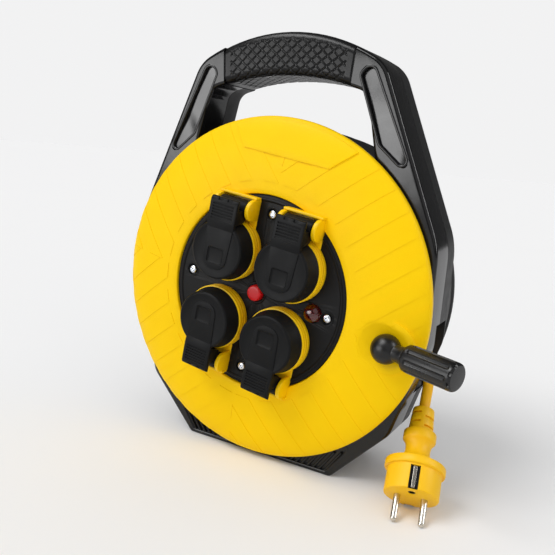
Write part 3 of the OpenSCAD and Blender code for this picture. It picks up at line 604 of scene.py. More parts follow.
FRAME_OUTLINE = rounded(both_sides([
    (37.5, 195, 145), (78.3, 172.4, 27), (130.5, 50.1, 60), (130.5, -24, 30),
    (110.5, -92, 14), (67, -138, 5)]), 3)
OPENING_OUTLINE = rounded(both_sides([
    (30.7, 163.5, 190), (67, 152, 12), (79.5, 96.5, 3), (70, 81.5, 0)]), 3)
PANEL_OUTLINE = rounded([(108, 93.5, 3), (80, 117, 4), (61, 164, 4), (69, 173.5, 5)], 12)
FOOT_OUTLINE = rounded([(14, -134.3, 2), (62.8, -134.3, 4), (79, -112.5, 3), (73, -105.5, 2),
                        (60, -113.4, 0), (40, -121.8, 0), (14, -127.6, 1)], 15)
FRONT_Y, PARTING_Y, BACK_Y = 8.0, 36.5, 56.0
FRONT_SEAM, REAR_SEAM = PARTING_Y - 0.25, PARTING_Y + 0.25
CHAMBER_RADIUS, BODY_RADIUS = 121.5, 127.5
print("points in the frame's outline:", len(FRAME_OUTLINE))

# %% [markdown]
# ## The front shell
# The shell is one moulding: a tall frame with the handle, and a round body that the frame
# holds. It could be lofted, but an extruded outline with the hand opening cut out, whose front
# edges are then rounded in one go, keeps every radius the same, as a real mould does. The
# small corners of the feet can't take the full radius, so their edges get a smaller share.

# %% A frame half with round edges
FOOT_TOP, FOOT_SHARE = -112, 0.6
EDGE_STEPS, SHARP_DEGREES = 8, 20
IN_PLANE = 1e-5

def round_front_edges(piece, y_plane, width):
    """Rounds the edges that lie in one plane of constant y, those of the feet less than the rest."""
    mesh = piece.data
    weights = mesh.attributes.new("bevel_weight_edge", "FLOAT", "EDGE")
    normals = {}
    for face in mesh.polygons:
        for key in face.edge_keys:
            normals.setdefault(key, []).append(face.normal.copy())
    for edge in mesh.edges:
        ends = [mesh.vertices[i].co for i in edge.vertices]
        sides = normals.get(tuple(sorted(edge.vertices)), [])
        if len(sides) != 2 or any(abs(end.y - y_plane * MM) > IN_PLANE for end in ends):
            continue
        if sides[0].angle(sides[1]) > math.radians(SHARP_DEGREES):
            in_foot = min(end.z for end in ends) < FOOT_TOP * MM
            weights.data[edge.index].value = FOOT_SHARE if in_foot else 1
    modifier = piece.modifiers.new("round", "BEVEL")
    modifier.width = width * MM
    modifier.segments = EDGE_STEPS
    modifier.limit_method = "WEIGHT"
    apply_modifiers(piece)
    left_over = piece.data.attributes.get("bevel_weight_edge")
    if left_over:
        piece.data.attributes.remove(left_over)

def frame_piece(name, y_front, y_back, round_at, edge_radius):
    plate = outline_plate(name, FRAME_OUTLINE, y_front, y_back)
    cut(plate, outline_plate("opening", OPENING_OUTLINE, y_front - 5, y_back + 5))
    round_front_edges(plate, round_at, edge_radius)
    return plate

front = frame_piece("housing_front", FRONT_Y, FRONT_SEAM, FRONT_Y, 6.5)
print("front frame:", len(front.data.vertices), "corners")

# %% [markdown]
# The round body is spun and united with the frame, the drum's chamber is bored, and the
# shoulder panels and the feet's ribbed fields are sunk into the front.

# %% Body, chamber and recesses
PANEL_DEPTH, FOOT_DEPTH = 3, 2.2
body_ring = spun("body_ring", [
    (CHAMBER_RADIUS - 4, 8.4), (BODY_RADIUS - 1.6, 8.4), (BODY_RADIUS - 0.4, 8.9),
    (BODY_RADIUS, 10), (BODY_RADIUS, FRONT_SEAM), (CHAMBER_RADIUS - 4, FRONT_SEAM),
    (CHAMBER_RADIUS - 4, 8.4)], 192)
cut(front, body_ring, mode="UNION")
cut(front, ring_cutter("chamber", CHAMBER_RADIUS, 0, 45))
for outline, depth in ((PANEL_OUTLINE, PANEL_DEPTH), (FOOT_OUTLINE, FOOT_DEPTH)):
    for side in (outline, mirrored(outline)):
        cut(front, outline_plate("recess", side, 0, FRONT_Y + depth))
print("front shell:", len(front.data.vertices), "corners")

# %% [markdown]
# The handle's middle is left free for the soft grip, the lead gets its way out through the
# right wall, and the whole shell is softened by a fine bevel, because no mould has sharp edges.

# %% Cuts for the grip and the lead
GRIP_ZONE = [(-52, 130), (52, 130), (58, 205), (-58, 205)]
EXIT_INNER, EXIT_OUTER, EXIT_TOP, EXIT_LOW = CHAMBER_RADIUS - 12, 139.5, -8, -62
EXIT_FRONT, EXIT_BACK = 28, 52

def cut_ways(shell):
    """Cuts the grip's zone and the lead's slot, which stays clear of a housing screw at its low end."""
    cut(shell, outline_plate("grip_zone", GRIP_ZONE, FRONT_Y - 3, BACK_Y + 3))
    slot = [(EXIT_INNER, EXIT_TOP), (EXIT_OUTER, EXIT_TOP), (EXIT_OUTER, EXIT_LOW),
            (EXIT_INNER + 9, EXIT_LOW), (EXIT_INNER + 9, EXIT_LOW + 10), (EXIT_INNER, EXIT_LOW + 18)]
    cut(shell, outline_plate("exit", slot, EXIT_FRONT, EXIT_BACK))

cut_ways(front)
soften(front, 0.5, 2, 40, 30)
place_mesh(front, AXIS_FRAME)
print("front shell, softened:", len(front.data.vertices), "corners")

# %% [markdown]
# ## Rims and ribs of the front shell
# The recessed panel in each shoulder has a rolled rim and a glossy face, and each foot carries
# slanted ribs in a frame. The rims and ribs are round lines swept along points in the shell's
# front plane, so a rim's width is one number. A second line under the panel's rim closes the
# gap between the rim and the rounded edge of the arm.

# %% Rims and ribs
PANEL_RIM = rounded([(109, 92.3, 4), (79.6, 116.8, 5), (60.5, 164.5, 5), (69.2, 175, 6)], 10)
PANEL_FACE = rounded([(107.2, 94.4, 3), (80.8, 117.3, 4), (62, 163.6, 4), (69.2, 172.2, 4)], 12)
FOOT_BORDER = rounded([(13, -135.3, 2), (63.6, -135.3, 5), (80.6, -112, 4), (73.5, -103.8, 0)], 12)
RIB_COUNT, RIB_PITCH, RIB_LEAN, RIB_LOSS = 10, 5.0, 0.68, 1.15
FIRST_RIB, FIRST_RISE = (62.2, -134.6), 18.5

def both(points, y, radius, closed=True, flat=1.0):
    """A raised round line through (x, z) points in mm on the right side, and its mirror image."""
    lines = []
    for side in (points, mirrored(points)):
        route = [Vector((x * MM, y * MM, z * MM)) for x, z in side]
        lines.append(tube("line", route, radius * MM, 10, closed, flat))
    return lines

rims = both(PANEL_RIM, FRONT_Y + 0.3, 1.1, flat=0.8)
rims += both(PANEL_RIM, FRONT_Y + 1.9, 1.0, flat=1.2)
rims += both(FOOT_BORDER, FRONT_Y + 0.5, 1.1, closed=False, flat=0.8)
for k in range(RIB_COUNT):
    low = Vector((FIRST_RIB[0] - RIB_PITCH * k, FIRST_RIB[1]))
    top = low + Vector((RIB_LEAN, 1)) * (FIRST_RISE - RIB_LOSS * k)
    rims += both([low, top], FRONT_Y + 1.3, 1.05, closed=False)
front_rims = join(rims, "housing_front_rims")
smooth(front_rims, 50)
place_mesh(front_rims, AXIS_FRAME)
panels = join([outline_plate("panel", outline, FRONT_Y + 2.7, FRONT_Y + 3.1)
               for outline in (PANEL_FACE, mirrored(PANEL_FACE))], "housing_panels")
bevel(panels, 0.1, 2)
place_mesh(panels, AXIS_FRAME)
print("rims:", len(front_rims.data.polygons), "faces, panels:", len(panels.data.polygons))

# %% [markdown]
# ## The rear shell
# The back half repeats the frame's outline with its own rounded edge, and a round tub with a
# bead near its rim holds the drum's rear. The flat base runs further back than the frame, so
# that the reel stands steadily. Near each end of its flat back the tub's profile has a second
# point: the narrow faces between the two keep the flat's shading even.

# %% The rear shell
BASE_OUTLINE = rounded(both_sides([(92, -84, 6), (98, -104, 14), (67, -138, 5)]), 4)
BASE_BACK = 74
TUB_PROFILE = [
    (12, REAR_SEAM), (BODY_RADIUS, REAR_SEAM), (BODY_RADIUS, 66), (126, 74), (124.5, 84.6),
    (125.2, 85.2), (125.9, 86), (125.9, 88), (125.2, 88.8), (124.2, 89), (97.5, 89), (96, 88.5),
    (91.5, 87), (90.8, 87), (13.5, 87), (12, 87), (12, REAR_SEAM)]
SCREW_SPOTS = [(88, 117), (113, -60), (62, -127), (70, 168)]
SCREW_HOLE_RADIUS = 4.2
rear = frame_piece("housing_rear", REAR_SEAM, BACK_Y, BACK_Y, 6)
base = outline_plate("base", BASE_OUTLINE, REAR_SEAM, BASE_BACK)
bevel(base, 1.2)
cut(rear, base, mode="UNION")
cut(rear, spun("tub", TUB_PROFILE, 192), mode="UNION")
cut(rear, ring_cutter("chamber", CHAMBER_RADIUS, 30, 84))
cut_ways(rear)
for x, z in SCREW_SPOTS + [(-x, z) for x, z in SCREW_SPOTS]:
    drilled(rear, x, z, SCREW_HOLE_RADIUS, BACK_Y - 6, 76, 32)
soften(rear, 0.5, 2, 40, 30)
place_mesh(rear, AXIS_FRAME)
print("rear shell:", len(rear.data.polygons), "faces")

# %% [markdown]
# ## The soft grip
# The grip's diamond pads are part of its mould, so they are shaped in the mesh. The sleeve is
# lofted: at each station along the handle, a closed section runs round from the outer edge
# over the front to the hand's side and back. Crossing grooves are sunk along each point's
# normal, and they fade out near the borders.

# %% The grip's section
DIAMOND_ALONG, DIAMOND_ROUND, DIAMOND_DEPTH = 8.4, 7.4, 0.7
GROOVE_SHARE = 0.24
SECTION_RADIUS, CORNER_STEPS, SIDE_STEPS = 6.6, 16, (50, 72)
GRIP_HALF, GRIP_BORDER, PLAIN_TOP, END_SINK = 54.0, 5.5, 4.5, 0.5

def section_path(height):
    """A section with round corners, as (height, depth) points in mm round its middle."""
    high, deep = height / 2 - SECTION_RADIUS, (BACK_Y - FRONT_Y) / 2 - SECTION_RADIUS
    corners = [(high, deep), (-high, deep), (-high, -deep), (high, -deep)]
    path = []
    for c, (h, d) in enumerate(corners):
        for k in range(CORNER_STEPS + 1):
            angle = math.radians(90 * c + 90 * k / CORNER_STEPS)
            out_h, out_d = SECTION_RADIUS * math.cos(angle), SECTION_RADIUS * math.sin(angle)
            path.append((h + out_h, d + out_d))
        next_h, next_d = corners[(c + 1) % 4]
        start, end = Vector(path[-1]), Vector((next_h + out_h, next_d + out_d))
        count = SIDE_STEPS[c % 2]
        path += [tuple(start + (end - start) * k / count) for k in range(1, count)]
    return path

def groove_depth(along, round_it):
    """How deep the crossing grooves between the diamond pads are at a point of the sleeve."""
    a = along / DIAMOND_ALONG + round_it / DIAMOND_ROUND
    b = along / DIAMOND_ALONG - round_it / DIAMOND_ROUND
    nearest = min(abs((a % 1) - 0.5), abs((b % 1) - 0.5)) * 2
    return DIAMOND_DEPTH * (1 - min(1, nearest / GROOVE_SHARE))

def fade(distance, width):
    """Rises from 0 to 1 over a width."""
    return min(1, max(0, distance / width))

def grip_section(outer_point, inner_point, station):
    """One closed section with its relief, as points in mm."""
    span = outer_point - inner_point
    across, height = span.normalized(), span.length
    centre = (outer_point + inner_point) / 2
    middle_y = (BACK_Y + FRONT_Y) / 2
    end_fade = fade(GRIP_HALF - GRIP_BORDER - abs(station), 1.0)
    end_sink = END_SINK * fade(abs(station) - GRIP_HALF + 1.0, 0.5)
    path = section_path(height)
    total = 0.0
    points = []
    for i, (h, d) in enumerate(path):
        before, after = Vector(path[i - 1]), Vector(path[(i + 1) % len(path)])
        along = (after - before).normalized()
        total += (Vector((h, d)) - before).length if i else 0
        top_fade = fade(height / 2 - PLAIN_TOP - h, 1.5)
        sink = groove_depth(station, total) * top_fade * end_fade + end_sink
        points.append(Vector((centre.x, 0, centre.y))
                      + Vector((across.x, 0, across.y)) * (h - along.y * sink)
                      + Vector((0, 1, 0)) * (middle_y + (d + along.x * sink)))
    return points

print("points in a section:", len(section_path(30)))

# %% [markdown]
# The sections are set along the handle and joined ring by ring, with a cap at each end.

# %% The soft grip
STATIONS = 250
TOP_HALF, LOW_HALF = 55.8, 53.8

def outline_height(outline, x):
    """The outline's highest z at x, for the top edges of the frame and of the opening."""
    heights = [a.y + (b.y - a.y) * (x - a.x) / (b.x - a.x)
               for a, b in zip(outline, outline[1:] + outline[:1])
               if (a.x - x) * (b.x - x) <= 0 and abs(a.x - b.x) > 1e-9]
    return max(heights)

def make_grip():
    corners, faces = [], []
    for i in range(STATIONS + 1):
        share = i / STATIONS * 2 - 1
        top_x, low_x = TOP_HALF * share, LOW_HALF * share
        outer = Vector((top_x, outline_height(FRAME_OUTLINE, top_x)))
        inner = Vector((low_x, outline_height(OPENING_OUTLINE, low_x)))
        corners += [p * MM for p in grip_section(outer, inner, GRIP_HALF * share)]
    ring = len(corners) // (STATIONS + 1)
    for i in range(STATIONS):
        for k in range(ring):
            a, b = i * ring + k, i * ring + (k + 1) % ring
            faces.append((a, b, b + ring, a + ring))
    faces.append(tuple(range(ring)))
    faces.append(tuple(STATIONS * ring + k for k in range(ring - 1, -1, -1)))
    piece = new_piece("handle_sleeve", corners, faces=faces)
    tidy_mesh(piece)
    smooth(piece, 40)
    return piece

sleeve = make_grip()
place_mesh(sleeve, AXIS_FRAME)
print("grip:", len(sleeve.data.polygons), "faces")

# %% [markdown]
# ## The drum's front disc
# The disc is a revolve: a flat inner ring, a dome that falls away to the rim, and a thin wall
# behind it. The finger dish for the folded crank is a sphere cut out of it, and the crank's
# neck lies in a round channel.

# %% The front disc
DISC_FRONT = [(75.4, -10.7), (75.7, -11.2), (76.3, -11.5), (80, -11.42), (86, -11.15), (92, -10.65),
              (98, -9.95), (104, -9.0), (110, -7.95), (116, -6.65), (121, -5.3), (125, -4.0),
              (128.3, -2.65), (130.8, -1.3), (132.2, -0.2), (132.8, 0.6), (133, 1.6)]
DISC_BACK = [(133, 5), (130.6, 5), (130.3, 1.7), (123.6, -1.4), (111.6, -4.6), (95, -7.3),
             (79, -8.5), (79, -3.8), (66, -3.8), (66, -6.8), (75.4, -6.8), (75.4, -10.7)]
DISH_DEPTH, DISH_RADIUS = -38, 44.5
BOSS_RADIUS, BALL_POCKET, NECK_CHANNEL = 19, 11.0, 7.6

def crank_place(x=0, y=0, z=0):
    """A place in the crank's own frame: the ball is its origin and X runs along the folded grip."""
    return turned(2.7, "Y") @ shift(110, -12, 0) @ turned(-7.9, "Y") @ shift(x, y, z)

CRANK_FRAME = crank_place()
CRANK_TILT = turned(-18.5, "Z")
disc = spun("drum_disc", DISC_FRONT + DISC_BACK, 256)
boss = ring_cutter("boss", BOSS_RADIUS, 4, 13.7, 96)
place_mesh(boss, CRANK_FRAME)
cut(disc, boss, mode="UNION")
cut(disc, sphere_at(DISH_RADIUS, crank_place(0, DISH_DEPTH, 0), 128))
cut(disc, sphere_at(BALL_POCKET, CRANK_FRAME, 64))
cut(disc, rod(NECK_CHANNEL, 40, CRANK_FRAME @ CRANK_TILT))
print("disc with its dish:", len(disc.data.polygons), "faces")

# %% [markdown]
# The face is embossed: a plain label panel at the top, and long planks at 45 degrees in each
# quarter. Both are pieces of a thin skin that follows the dome. The skin is cut to an outline
# from the front, as with a cookie cutter, so the relief keeps the same height everywhere.

# %% Label panel and planks
LABEL_PANEL = rounded([(-68, 139, 0), (73, 138.5, 0), (36.5, 104, 1.5), (-36.5, 104.5, 1.5)], 15)
PLANK_PITCH, PLANK_WIDTH, PLANK_HEIGHT, PLANK_START, PLANK_END = 18.0, 9.5, 0.32, 85.0, 132.4
PLANK_SHIFTS = {(1, 1): 3.0, (-1, 1): 6.5, (-1, -1): 5.0, (1, -1): 4.0}
PLANK_LENGTH, QUARTER_EDGE = 150, 0.15
SKIN_SINK = 0.9

def depth_at(radius):
    """The disc's depth at a radius."""
    for (r0, y0), (r1, y1) in zip(DISC_FRONT, DISC_FRONT[1:]):
        if r0 <= radius <= r1:
            return y0 + (y1 - y0) * (radius - r0) / (r1 - r0)

def dome_skin(name, height, inner, outer):
    """A thin shell that follows the disc's front, raised by height."""
    rows = [(r, y) for r, y in DISC_FRONT if inner < r < outer]
    rows = [(inner, depth_at(inner))] + rows + [(outer, depth_at(outer))]
    profile = [(r, y - height) for r, y in rows] + [(r, y + SKIN_SINK) for r, y in reversed(rows)]
    return spun(name, profile + profile[:1], 256)

def stamp(name, outline):
    """An outline as a cutter that goes through the whole disc."""
    return outline_plate(name, outline, -30, 10)

def clip(corners, axis, side):
    """Keeps the part of a convex outline on one side of a line through the centre."""
    kept = []
    for a, b in zip(corners, corners[1:] + corners[:1]):
        inside_a, inside_b = a[axis] * side > QUARTER_EDGE, b[axis] * side > QUARTER_EDGE
        if inside_a:
            kept.append(a)
        if inside_a != inside_b:
            kept.append(a + (b - a) * ((QUARTER_EDGE * side - a[axis]) / (b[axis] - a[axis])))
    return kept

def plank_outlines(side_x, side_z, start):
    """Strips at 45 degrees inside one quarter of the disc, cut square by the quarter's two edges."""
    slope = Vector((side_x, side_z)).normalized()
    across = Vector((-1, 1)).normalized() if side_x == side_z else Vector((1, 1)).normalized()
    strips = []
    for k in range(-7, 8):
        near = start + k * PLANK_PITCH - PLANK_WIDTH
        ends = ((0, near), (0, near + PLANK_WIDTH), (PLANK_LENGTH, near + PLANK_WIDTH), (PLANK_LENGTH, near))
        corners = clip(clip([slope * s + across * c for s, c in ends], 0, side_x), 1, side_z)
        if len(corners) > 2:
            strips.append(corners)
    return strips

def make_planks():
    strips = []
    for (side_x, side_z), start in PLANK_SHIFTS.items():
        strips += [stamp("strip", outline) for outline in plank_outlines(side_x, side_z, start)]
    skin = dome_skin("planks", PLANK_HEIGHT, PLANK_START, PLANK_END)
    cut(skin, join(strips, "strips"), mode="INTERSECT")
    cut(skin, sphere_at(DISH_RADIUS + 0.3, crank_place(0, DISH_DEPTH, 0), 96))
    cut(skin, stamp("label", LABEL_PANEL))
    return soften(skin, 0.12, 1, 50, 25)

label = dome_skin("label_panel", 1.0, 79.0, 130.4)
cut(label, stamp("outline", LABEL_PANEL), mode="INTERSECT")
soften(label, 0.5, 2, 50, 30)
planks = make_planks()
print("planks:", len(planks.data.polygons), "faces")
soften(disc, 0.35, 2, 30, 30)
disc = join([disc, label, planks], "drum_disc")
place_mesh(disc, REEL_FRAME)
print("disc:", len(disc.data.polygons), "faces")

# %% [markdown]
# ## The socket plate
# A round plate lies in the disc's opening, a little below its edge. A thin raised ring runs
# near its rim. Each screw sits in a round recess, and a collar runs round each screw and
# round the button.

# %% The socket plate
SOCKET_OFF, LAMP_OFF, SCREW_RING = 28, 49.5, 61.4
SCREW_PLACES = [(SCREW_RING, 0), (-SCREW_RING, 0), (0, SCREW_RING), (0, -SCREW_RING)]
PLATE_PROFILE = [
    (0, -9.8), (69.7, -9.8), (70.1, -10.1), (70.6, -10.55), (71.1, -10.7), (71.7, -10.6),
    (72.2, -10.2), (72.5, -9.8), (74.2, -9.8), (74.8, -9.5), (75, -9.1), (75, -6.8), (0, -6.8)]
COLLAR_PROFILE = [(4.6, -9.6), (4.75, -10.0), (5.2, -10.15), (5.7, -10.0), (5.85, -9.6), (4.6, -9.6)]
BUTTON_COLLAR_PROFILE = [(6.9, -9.6), (7.1, -10.3), (7.6, -10.5), (8.3, -10.4), (8.8, -9.9),
                         (9.0, -9.6), (6.9, -9.6)]
plate = spun("plate_disc", PLATE_PROFILE, 192)
for x in (-SOCKET_OFF, SOCKET_OFF):
    for z in (-SOCKET_OFF, SOCKET_OFF):
        drilled(plate, x, z, 25, -14, 0, 96)
drilled(plate, 0, 0, 6.5, -14, 0, 48)
drilled(plate, LAMP_OFF, 0, 7.2, -14, 0, 48)
for x, z in SCREW_PLACES:
    drilled(plate, x, z, 4.5, -14, -8.4, 48)
    collar = spun("collar", COLLAR_PROFILE, 48)
    place_mesh(collar, shift(x, 0, z))
    plate = join([plate, collar], "plate_disc")
plate = join([plate, spun("collar", BUTTON_COLLAR_PROFILE, 64)], "plate_disc")
soften(plate, 0.25, 2, 40, 30)
place_mesh(plate, REEL_FRAME)
print("plate:", len(plate.data.polygons), "faces")

# %% [markdown]
# ## Plate screws
# Each screw is a shallow round head with a cross recess, cut by two thin bars. One is modelled
# and four are its twins, each turned by another angle, as hands leave them.

# %% Plate screws
HEAD_PROFILE = [(0, -10.75), (1.6, -10.7), (2.5, -10.45), (3.0, -10.05), (3.15, -9.6),
                (3.15, -8.6), (0, -8.6)]
SCREW_TURNS = (12, 40, 71, 28)
first_head = spun("head", HEAD_PROFILE, 48)
for degrees in (0, 90):
    bar = box_between("slot", (-2.0, -11.5, -0.38), (2.0, -9.7, 0.38))
    place_mesh(bar, turned(degrees, "Y"))
    cut(first_head, bar)
soften(first_head, 0.09, 2, 40, 35)
screws = join([twin(first_head, "head", REEL_FRAME @ (shift(x, 0, z) @ turned(degrees, "Y")))
               for (x, z), degrees in zip(SCREW_PLACES, SCREW_TURNS)], "plate_screw_heads")
bpy.data.objects.remove(first_head)
print("screw heads:", len(screws.data.polygons), "faces")

# %% [markdown]
# ## Sockets
# A socket is a revolve: the raised ring with two fine grooves, the round well and its back. The
# hinge bracket beside it has two ears, each a rounded plate, with a wall between them that the
# lid's arm stops at. One socket is modelled, and four twins are set on the plate.

# %% Sockets
WELL_RADIUS, CONTACT_OFF = 19.75, 9.5
SOCKET_PROFILE = [
    (0, -1.8), (WELL_RADIUS, -1.8), (WELL_RADIUS, -18.6), (20.0, -19.05), (20.5, -19.3), (24.3, -19.3),
    (24.8, -19.1), (25, -18.6), (25, -16.9), (24.5, -16.6), (24.5, -16.1), (25, -15.8), (25, -13.6),
    (24.5, -13.3), (24.5, -12.8), (25, -12.5), (25, -7), (22, -7), (22, 1.2), (0, 1.2)]
EAR_IN, EAR_THICK, EAR_RADIUS, EAR_FOOT = 13.0, 3.4, 8.0, -9.2
HINGE_Y, HINGE_Z, BRACKET_HALF = -18.0, 33.0, 16.4

def socket_frame(i):
    """A socket's frame: X across, Z towards its hinge."""
    x = -SOCKET_OFF if i % 2 == 0 else SOCKET_OFF
    z, degrees = (SOCKET_OFF, 0) if i < 2 else (-SOCKET_OFF, 180)
    return REEL_FRAME @ shift(x, 0, z) @ turned(degrees, "Y")

def twins(first, name):
    """Four twins of a piece, one at each socket. The first one, which they replace, is removed."""
    copies = [twin(first, f"{name}_{i + 1}", socket_frame(i)) for i in range(4)]
    bpy.data.objects.remove(first)
    return copies

def side_plate(name, outline, x0, x1):
    """An outline in Y and Z, extruded along X."""
    piece = outline_plate(name, outline, x0, x1)
    place_mesh(piece, Matrix(((0, 1, 0, 0), (1, 0, 0, 0), (0, 0, 1, 0), (0, 0, 0, 1))))
    tidy_mesh(piece)
    return piece

def make_socket():
    body = spun("socket", SOCKET_PROFILE, 128)
    for x in (-CONTACT_OFF, CONTACT_OFF):
        drilled(body, x, 0, 2.7, -3, 3, 32)
    parts = [body]
    ear_outline = [(HINGE_Y + EAR_RADIUS * math.cos(math.radians(a)),
                    HINGE_Z + EAR_RADIUS * math.sin(math.radians(a))) for a in range(90, 271, 10)]
    ear_outline += [(EAR_FOOT, HINGE_Z - EAR_RADIUS), (EAR_FOOT, HINGE_Z + EAR_RADIUS)]
    for x0 in (EAR_IN, -EAR_IN - EAR_THICK):
        ear = side_plate("ear", ear_outline, x0, x0 + EAR_THICK)
        bevel(ear, 0.9)
        parts.append(ear)
    wall = box_between("wall", (-BRACKET_HALF, -17.2, 41), (BRACKET_HALF, EAR_FOOT, 43))
    bevel(wall, 0.5)
    bracket_floor = box_between("bracket_floor", (-BRACKET_HALF, -10.75, 18.5), (BRACKET_HALF, -9.4, 42.5))
    bevel(bracket_floor, 0.4)
    cut(bracket_floor, ring_cutter("well", WELL_RADIUS, -14, 0, 96))
    return soften(join(parts + [wall, bracket_floor], "socket"), 0.2, 2, 60, 35)

sockets = twins(make_socket(), "socket_form")
print("socket:", len(sockets[0].data.polygons), "faces")

# %% [markdown]
# ## Lids
# A spring lid is a rubber cup with a tongue that runs over its face to the hinge. The cup is a
# revolve. The tongue is an extruded outline that is united with the cup before the square
# thumb dent is sunk into both, and the arm has a stack of cross grooves where it bends over
# the hinge.

# %% Lids
LID_FACE, LID_TOP, STRAP_TOP = -33.4, -33.85, -34.4
LID_PROFILE = [
    (0, LID_FACE + 0.1), (19.6, LID_FACE + 0.1), (20.0, LID_FACE - 0.15), (20.5, LID_FACE - 0.25),
    (21.0, LID_FACE - 0.1), (21.5, -33.1), (21.9, -32.6), (22.1, -32.0), (23.7, -20.6), (24, -20.2),
    (24, -19.7), (22.1, -19.7), (20.2, -31.4), (0, -31.4)]
TONGUE_OUTLINE = rounded([(-12, 24, 0), (12, 24, 0), (10, -14.5, 8.5), (-10, -14.5, 8.5)], 6)
ARM_OUTLINE = [
    (LID_TOP + 0.05, 15.5), (STRAP_TOP, 21.5), (STRAP_TOP, 36.8), (STRAP_TOP + 0.8, 38.6),
    (STRAP_TOP + 2.2, 39.4), (-31.1, 39.4), (-31.1, 32), (-21, 32), (-18, 26.3), (-22.6, 22.5),
    (-30.4, 20.9), (-32.4, 15.5)]
ARM_HALF, FIRST_GROOVE, GROOVE_PITCH, GROOVE_WIDTH = 12, 22.6, 2.15, 1.05

def make_lid():
    cup = spun("lid", LID_PROFILE, 128)
    tongue = outline_plate("tongue", TONGUE_OUTLINE, LID_TOP, LID_FACE + 1)
    bevel(tongue, 0.32)
    dent = box_between("dent", (-7.3, LID_TOP - 3, -10.6), (7.3, LID_TOP + 1.15, 2.0))
    bevel(dent, 1.9, 5)
    cut(cup, tongue, mode="UNION")
    cut(cup, dent)
    arm = side_plate("arm", ARM_OUTLINE, -ARM_HALF, ARM_HALF)
    bevel(arm, 0.5, 2, 30)
    for k in range(6):
        z = FIRST_GROOVE + k * GROOVE_PITCH
        cut(arm, box_between("groove", (-9.2, STRAP_TOP - 1, z), (9.2, STRAP_TOP + 0.85, z + GROOVE_WIDTH)))
    for x in (-4, 4):
        cut(arm, box_between("notch", (x - 1.6, STRAP_TOP - 1, 37.0), (x + 1.6, STRAP_TOP + 1.5, 40)))
    bevel(arm, 0.14, 2)
    knuckle = rod(6.7, 2 * ARM_HALF, shift(-ARM_HALF, HINGE_Y, HINGE_Z))
    bevel(knuckle, 0.4, 2)
    piece = join([cup, arm, knuckle], "lid")
    smooth(piece)
    return piece

lids = twins(make_lid(), "lid_form")
print("lid:", len(lids[0].data.polygons), "faces")

# %% [markdown]
# ## Cut-out button and lamp
# The button is a short round cap with a soft edge. The lamp is a clear hollow dome, so that it
# glints as a real indicator does when it is off.

# %% Button and lamp
BUTTON_PROFILE = [(0, -14.4), (3.4, -14.4), (4.9, -14.3), (5.6, -14.0), (6.0, -13.5), (6.2, -12.8),
                  (6.2, -1.1), (0, -1.1)]
button = spun("cutout_cap", BUTTON_PROFILE, 64)
smooth(button, 30)
place_mesh(button, REEL_FRAME)

dome = arc_profile(7.2, -5.8, -9.8, range(0, 91, 6))
hollow = arc_profile(5.4, -4.0, -9.8, range(90, -1, -9))
lens = spun("lamp_dome", dome + [(7.2, -6.8), (5.4, -6.8)] + hollow, 64)
smooth(lens, 30)
place_mesh(lens, REEL_FRAME @ shift(LAMP_OFF, 0, 0))
print("button and lamp:", len(button.data.polygons) + len(lens.data.polygons), "faces")

# %% [markdown]
# ## The folding crank
# The crank's ball turns in the disc's dish. A flared neck joins the ball to the grip, which has
# long channels with round ends, so that fingers hold it, and a scalloped end.

# %% The crank
GRIP_START, GRIP_LENGTH, GRIP_RADIUS = 18.3, 40.0, 9.8
GRIP_END = GRIP_START + GRIP_LENGTH
GRIP_FRAME = REEL_FRAME @ CRANK_FRAME @ CRANK_TILT
BALL_RADIUS, CHANNELS, CHANNEL_RADIUS, SCALLOP_RADIUS = 10.65, 8, 2.1, 2.0
NECK_PROFILE = [(0, 0), (6.0, 0), (5.9, 10), (6.0, 12.5), (6.3, 14.5), (6.75, 16.2), (6.75, 17.9),
                (4, 17.9), (4, 49), (0, 49)]
GRIP_PROFILE = [
    (4.2, GRIP_START), (8.2, GRIP_START), (8.9, GRIP_START + 0.25), (9.4, GRIP_START + 0.9),
    (9.55, GRIP_START + 2), (GRIP_RADIUS, GRIP_START + 5), (GRIP_RADIUS, GRIP_END - 3),
    (9.65, GRIP_END - 1.6), (9.2, GRIP_END - 0.6), (8.4, GRIP_END), (0, GRIP_END), (0, GRIP_END - 9),
    (4.2, GRIP_END - 9), (4.2, GRIP_START)]

def spun_x(name, profile, steps, matrix=Matrix.Identity(4)):
    """A revolve about the X axis of a frame."""
    piece = spun(name, profile, steps)
    place_mesh(piece, matrix @ turned(-90, "Z"))
    return piece

def capsule(radius, length, matrix):
    """A rod with round ends along the X axis; its straight part starts at the frame's origin."""
    start = arc_profile(radius, -radius, 0, range(0, 91, 15))
    end = arc_profile(radius, radius, length, range(90, -1, -15))
    return spun_x("capsule", start + end, 24, matrix)

def make_crank_stem():
    ball = sphere_at(BALL_RADIUS, Matrix.Identity(4))
    cut(ball, spun_x("neck", NECK_PROFILE, 96), mode="UNION")
    ball.name = "crank_ball"
    return soften(ball, 0.7, 3, 50, 40)

def make_crank_grip():
    body = spun_x("crank_sleeve", GRIP_PROFILE, 128)
    for k in range(CHANNELS):
        degrees = 360 / CHANNELS * k
        start = shift(GRIP_START + 5.5, 0, GRIP_RADIUS + 0.75)
        cut(body, capsule(CHANNEL_RADIUS, GRIP_LENGTH - 10.5, turned(degrees, "X") @ start))
        end = shift(GRIP_END - 2.0, 0, GRIP_RADIUS + 0.7)
        cut(body, rod(SCALLOP_RADIUS, 6, turned(degrees + 180 / CHANNELS, "X") @ end, 24))
    return soften(body, 0.35, 3, 35, 35)

crank_ball, crank_sleeve = make_crank_stem(), make_crank_grip()
for piece in (crank_ball, crank_sleeve):
    place_mesh(piece, GRIP_FRAME)
print("crank:", len(crank_ball.data.polygons) + len(crank_sleeve.data.polygons), "faces")

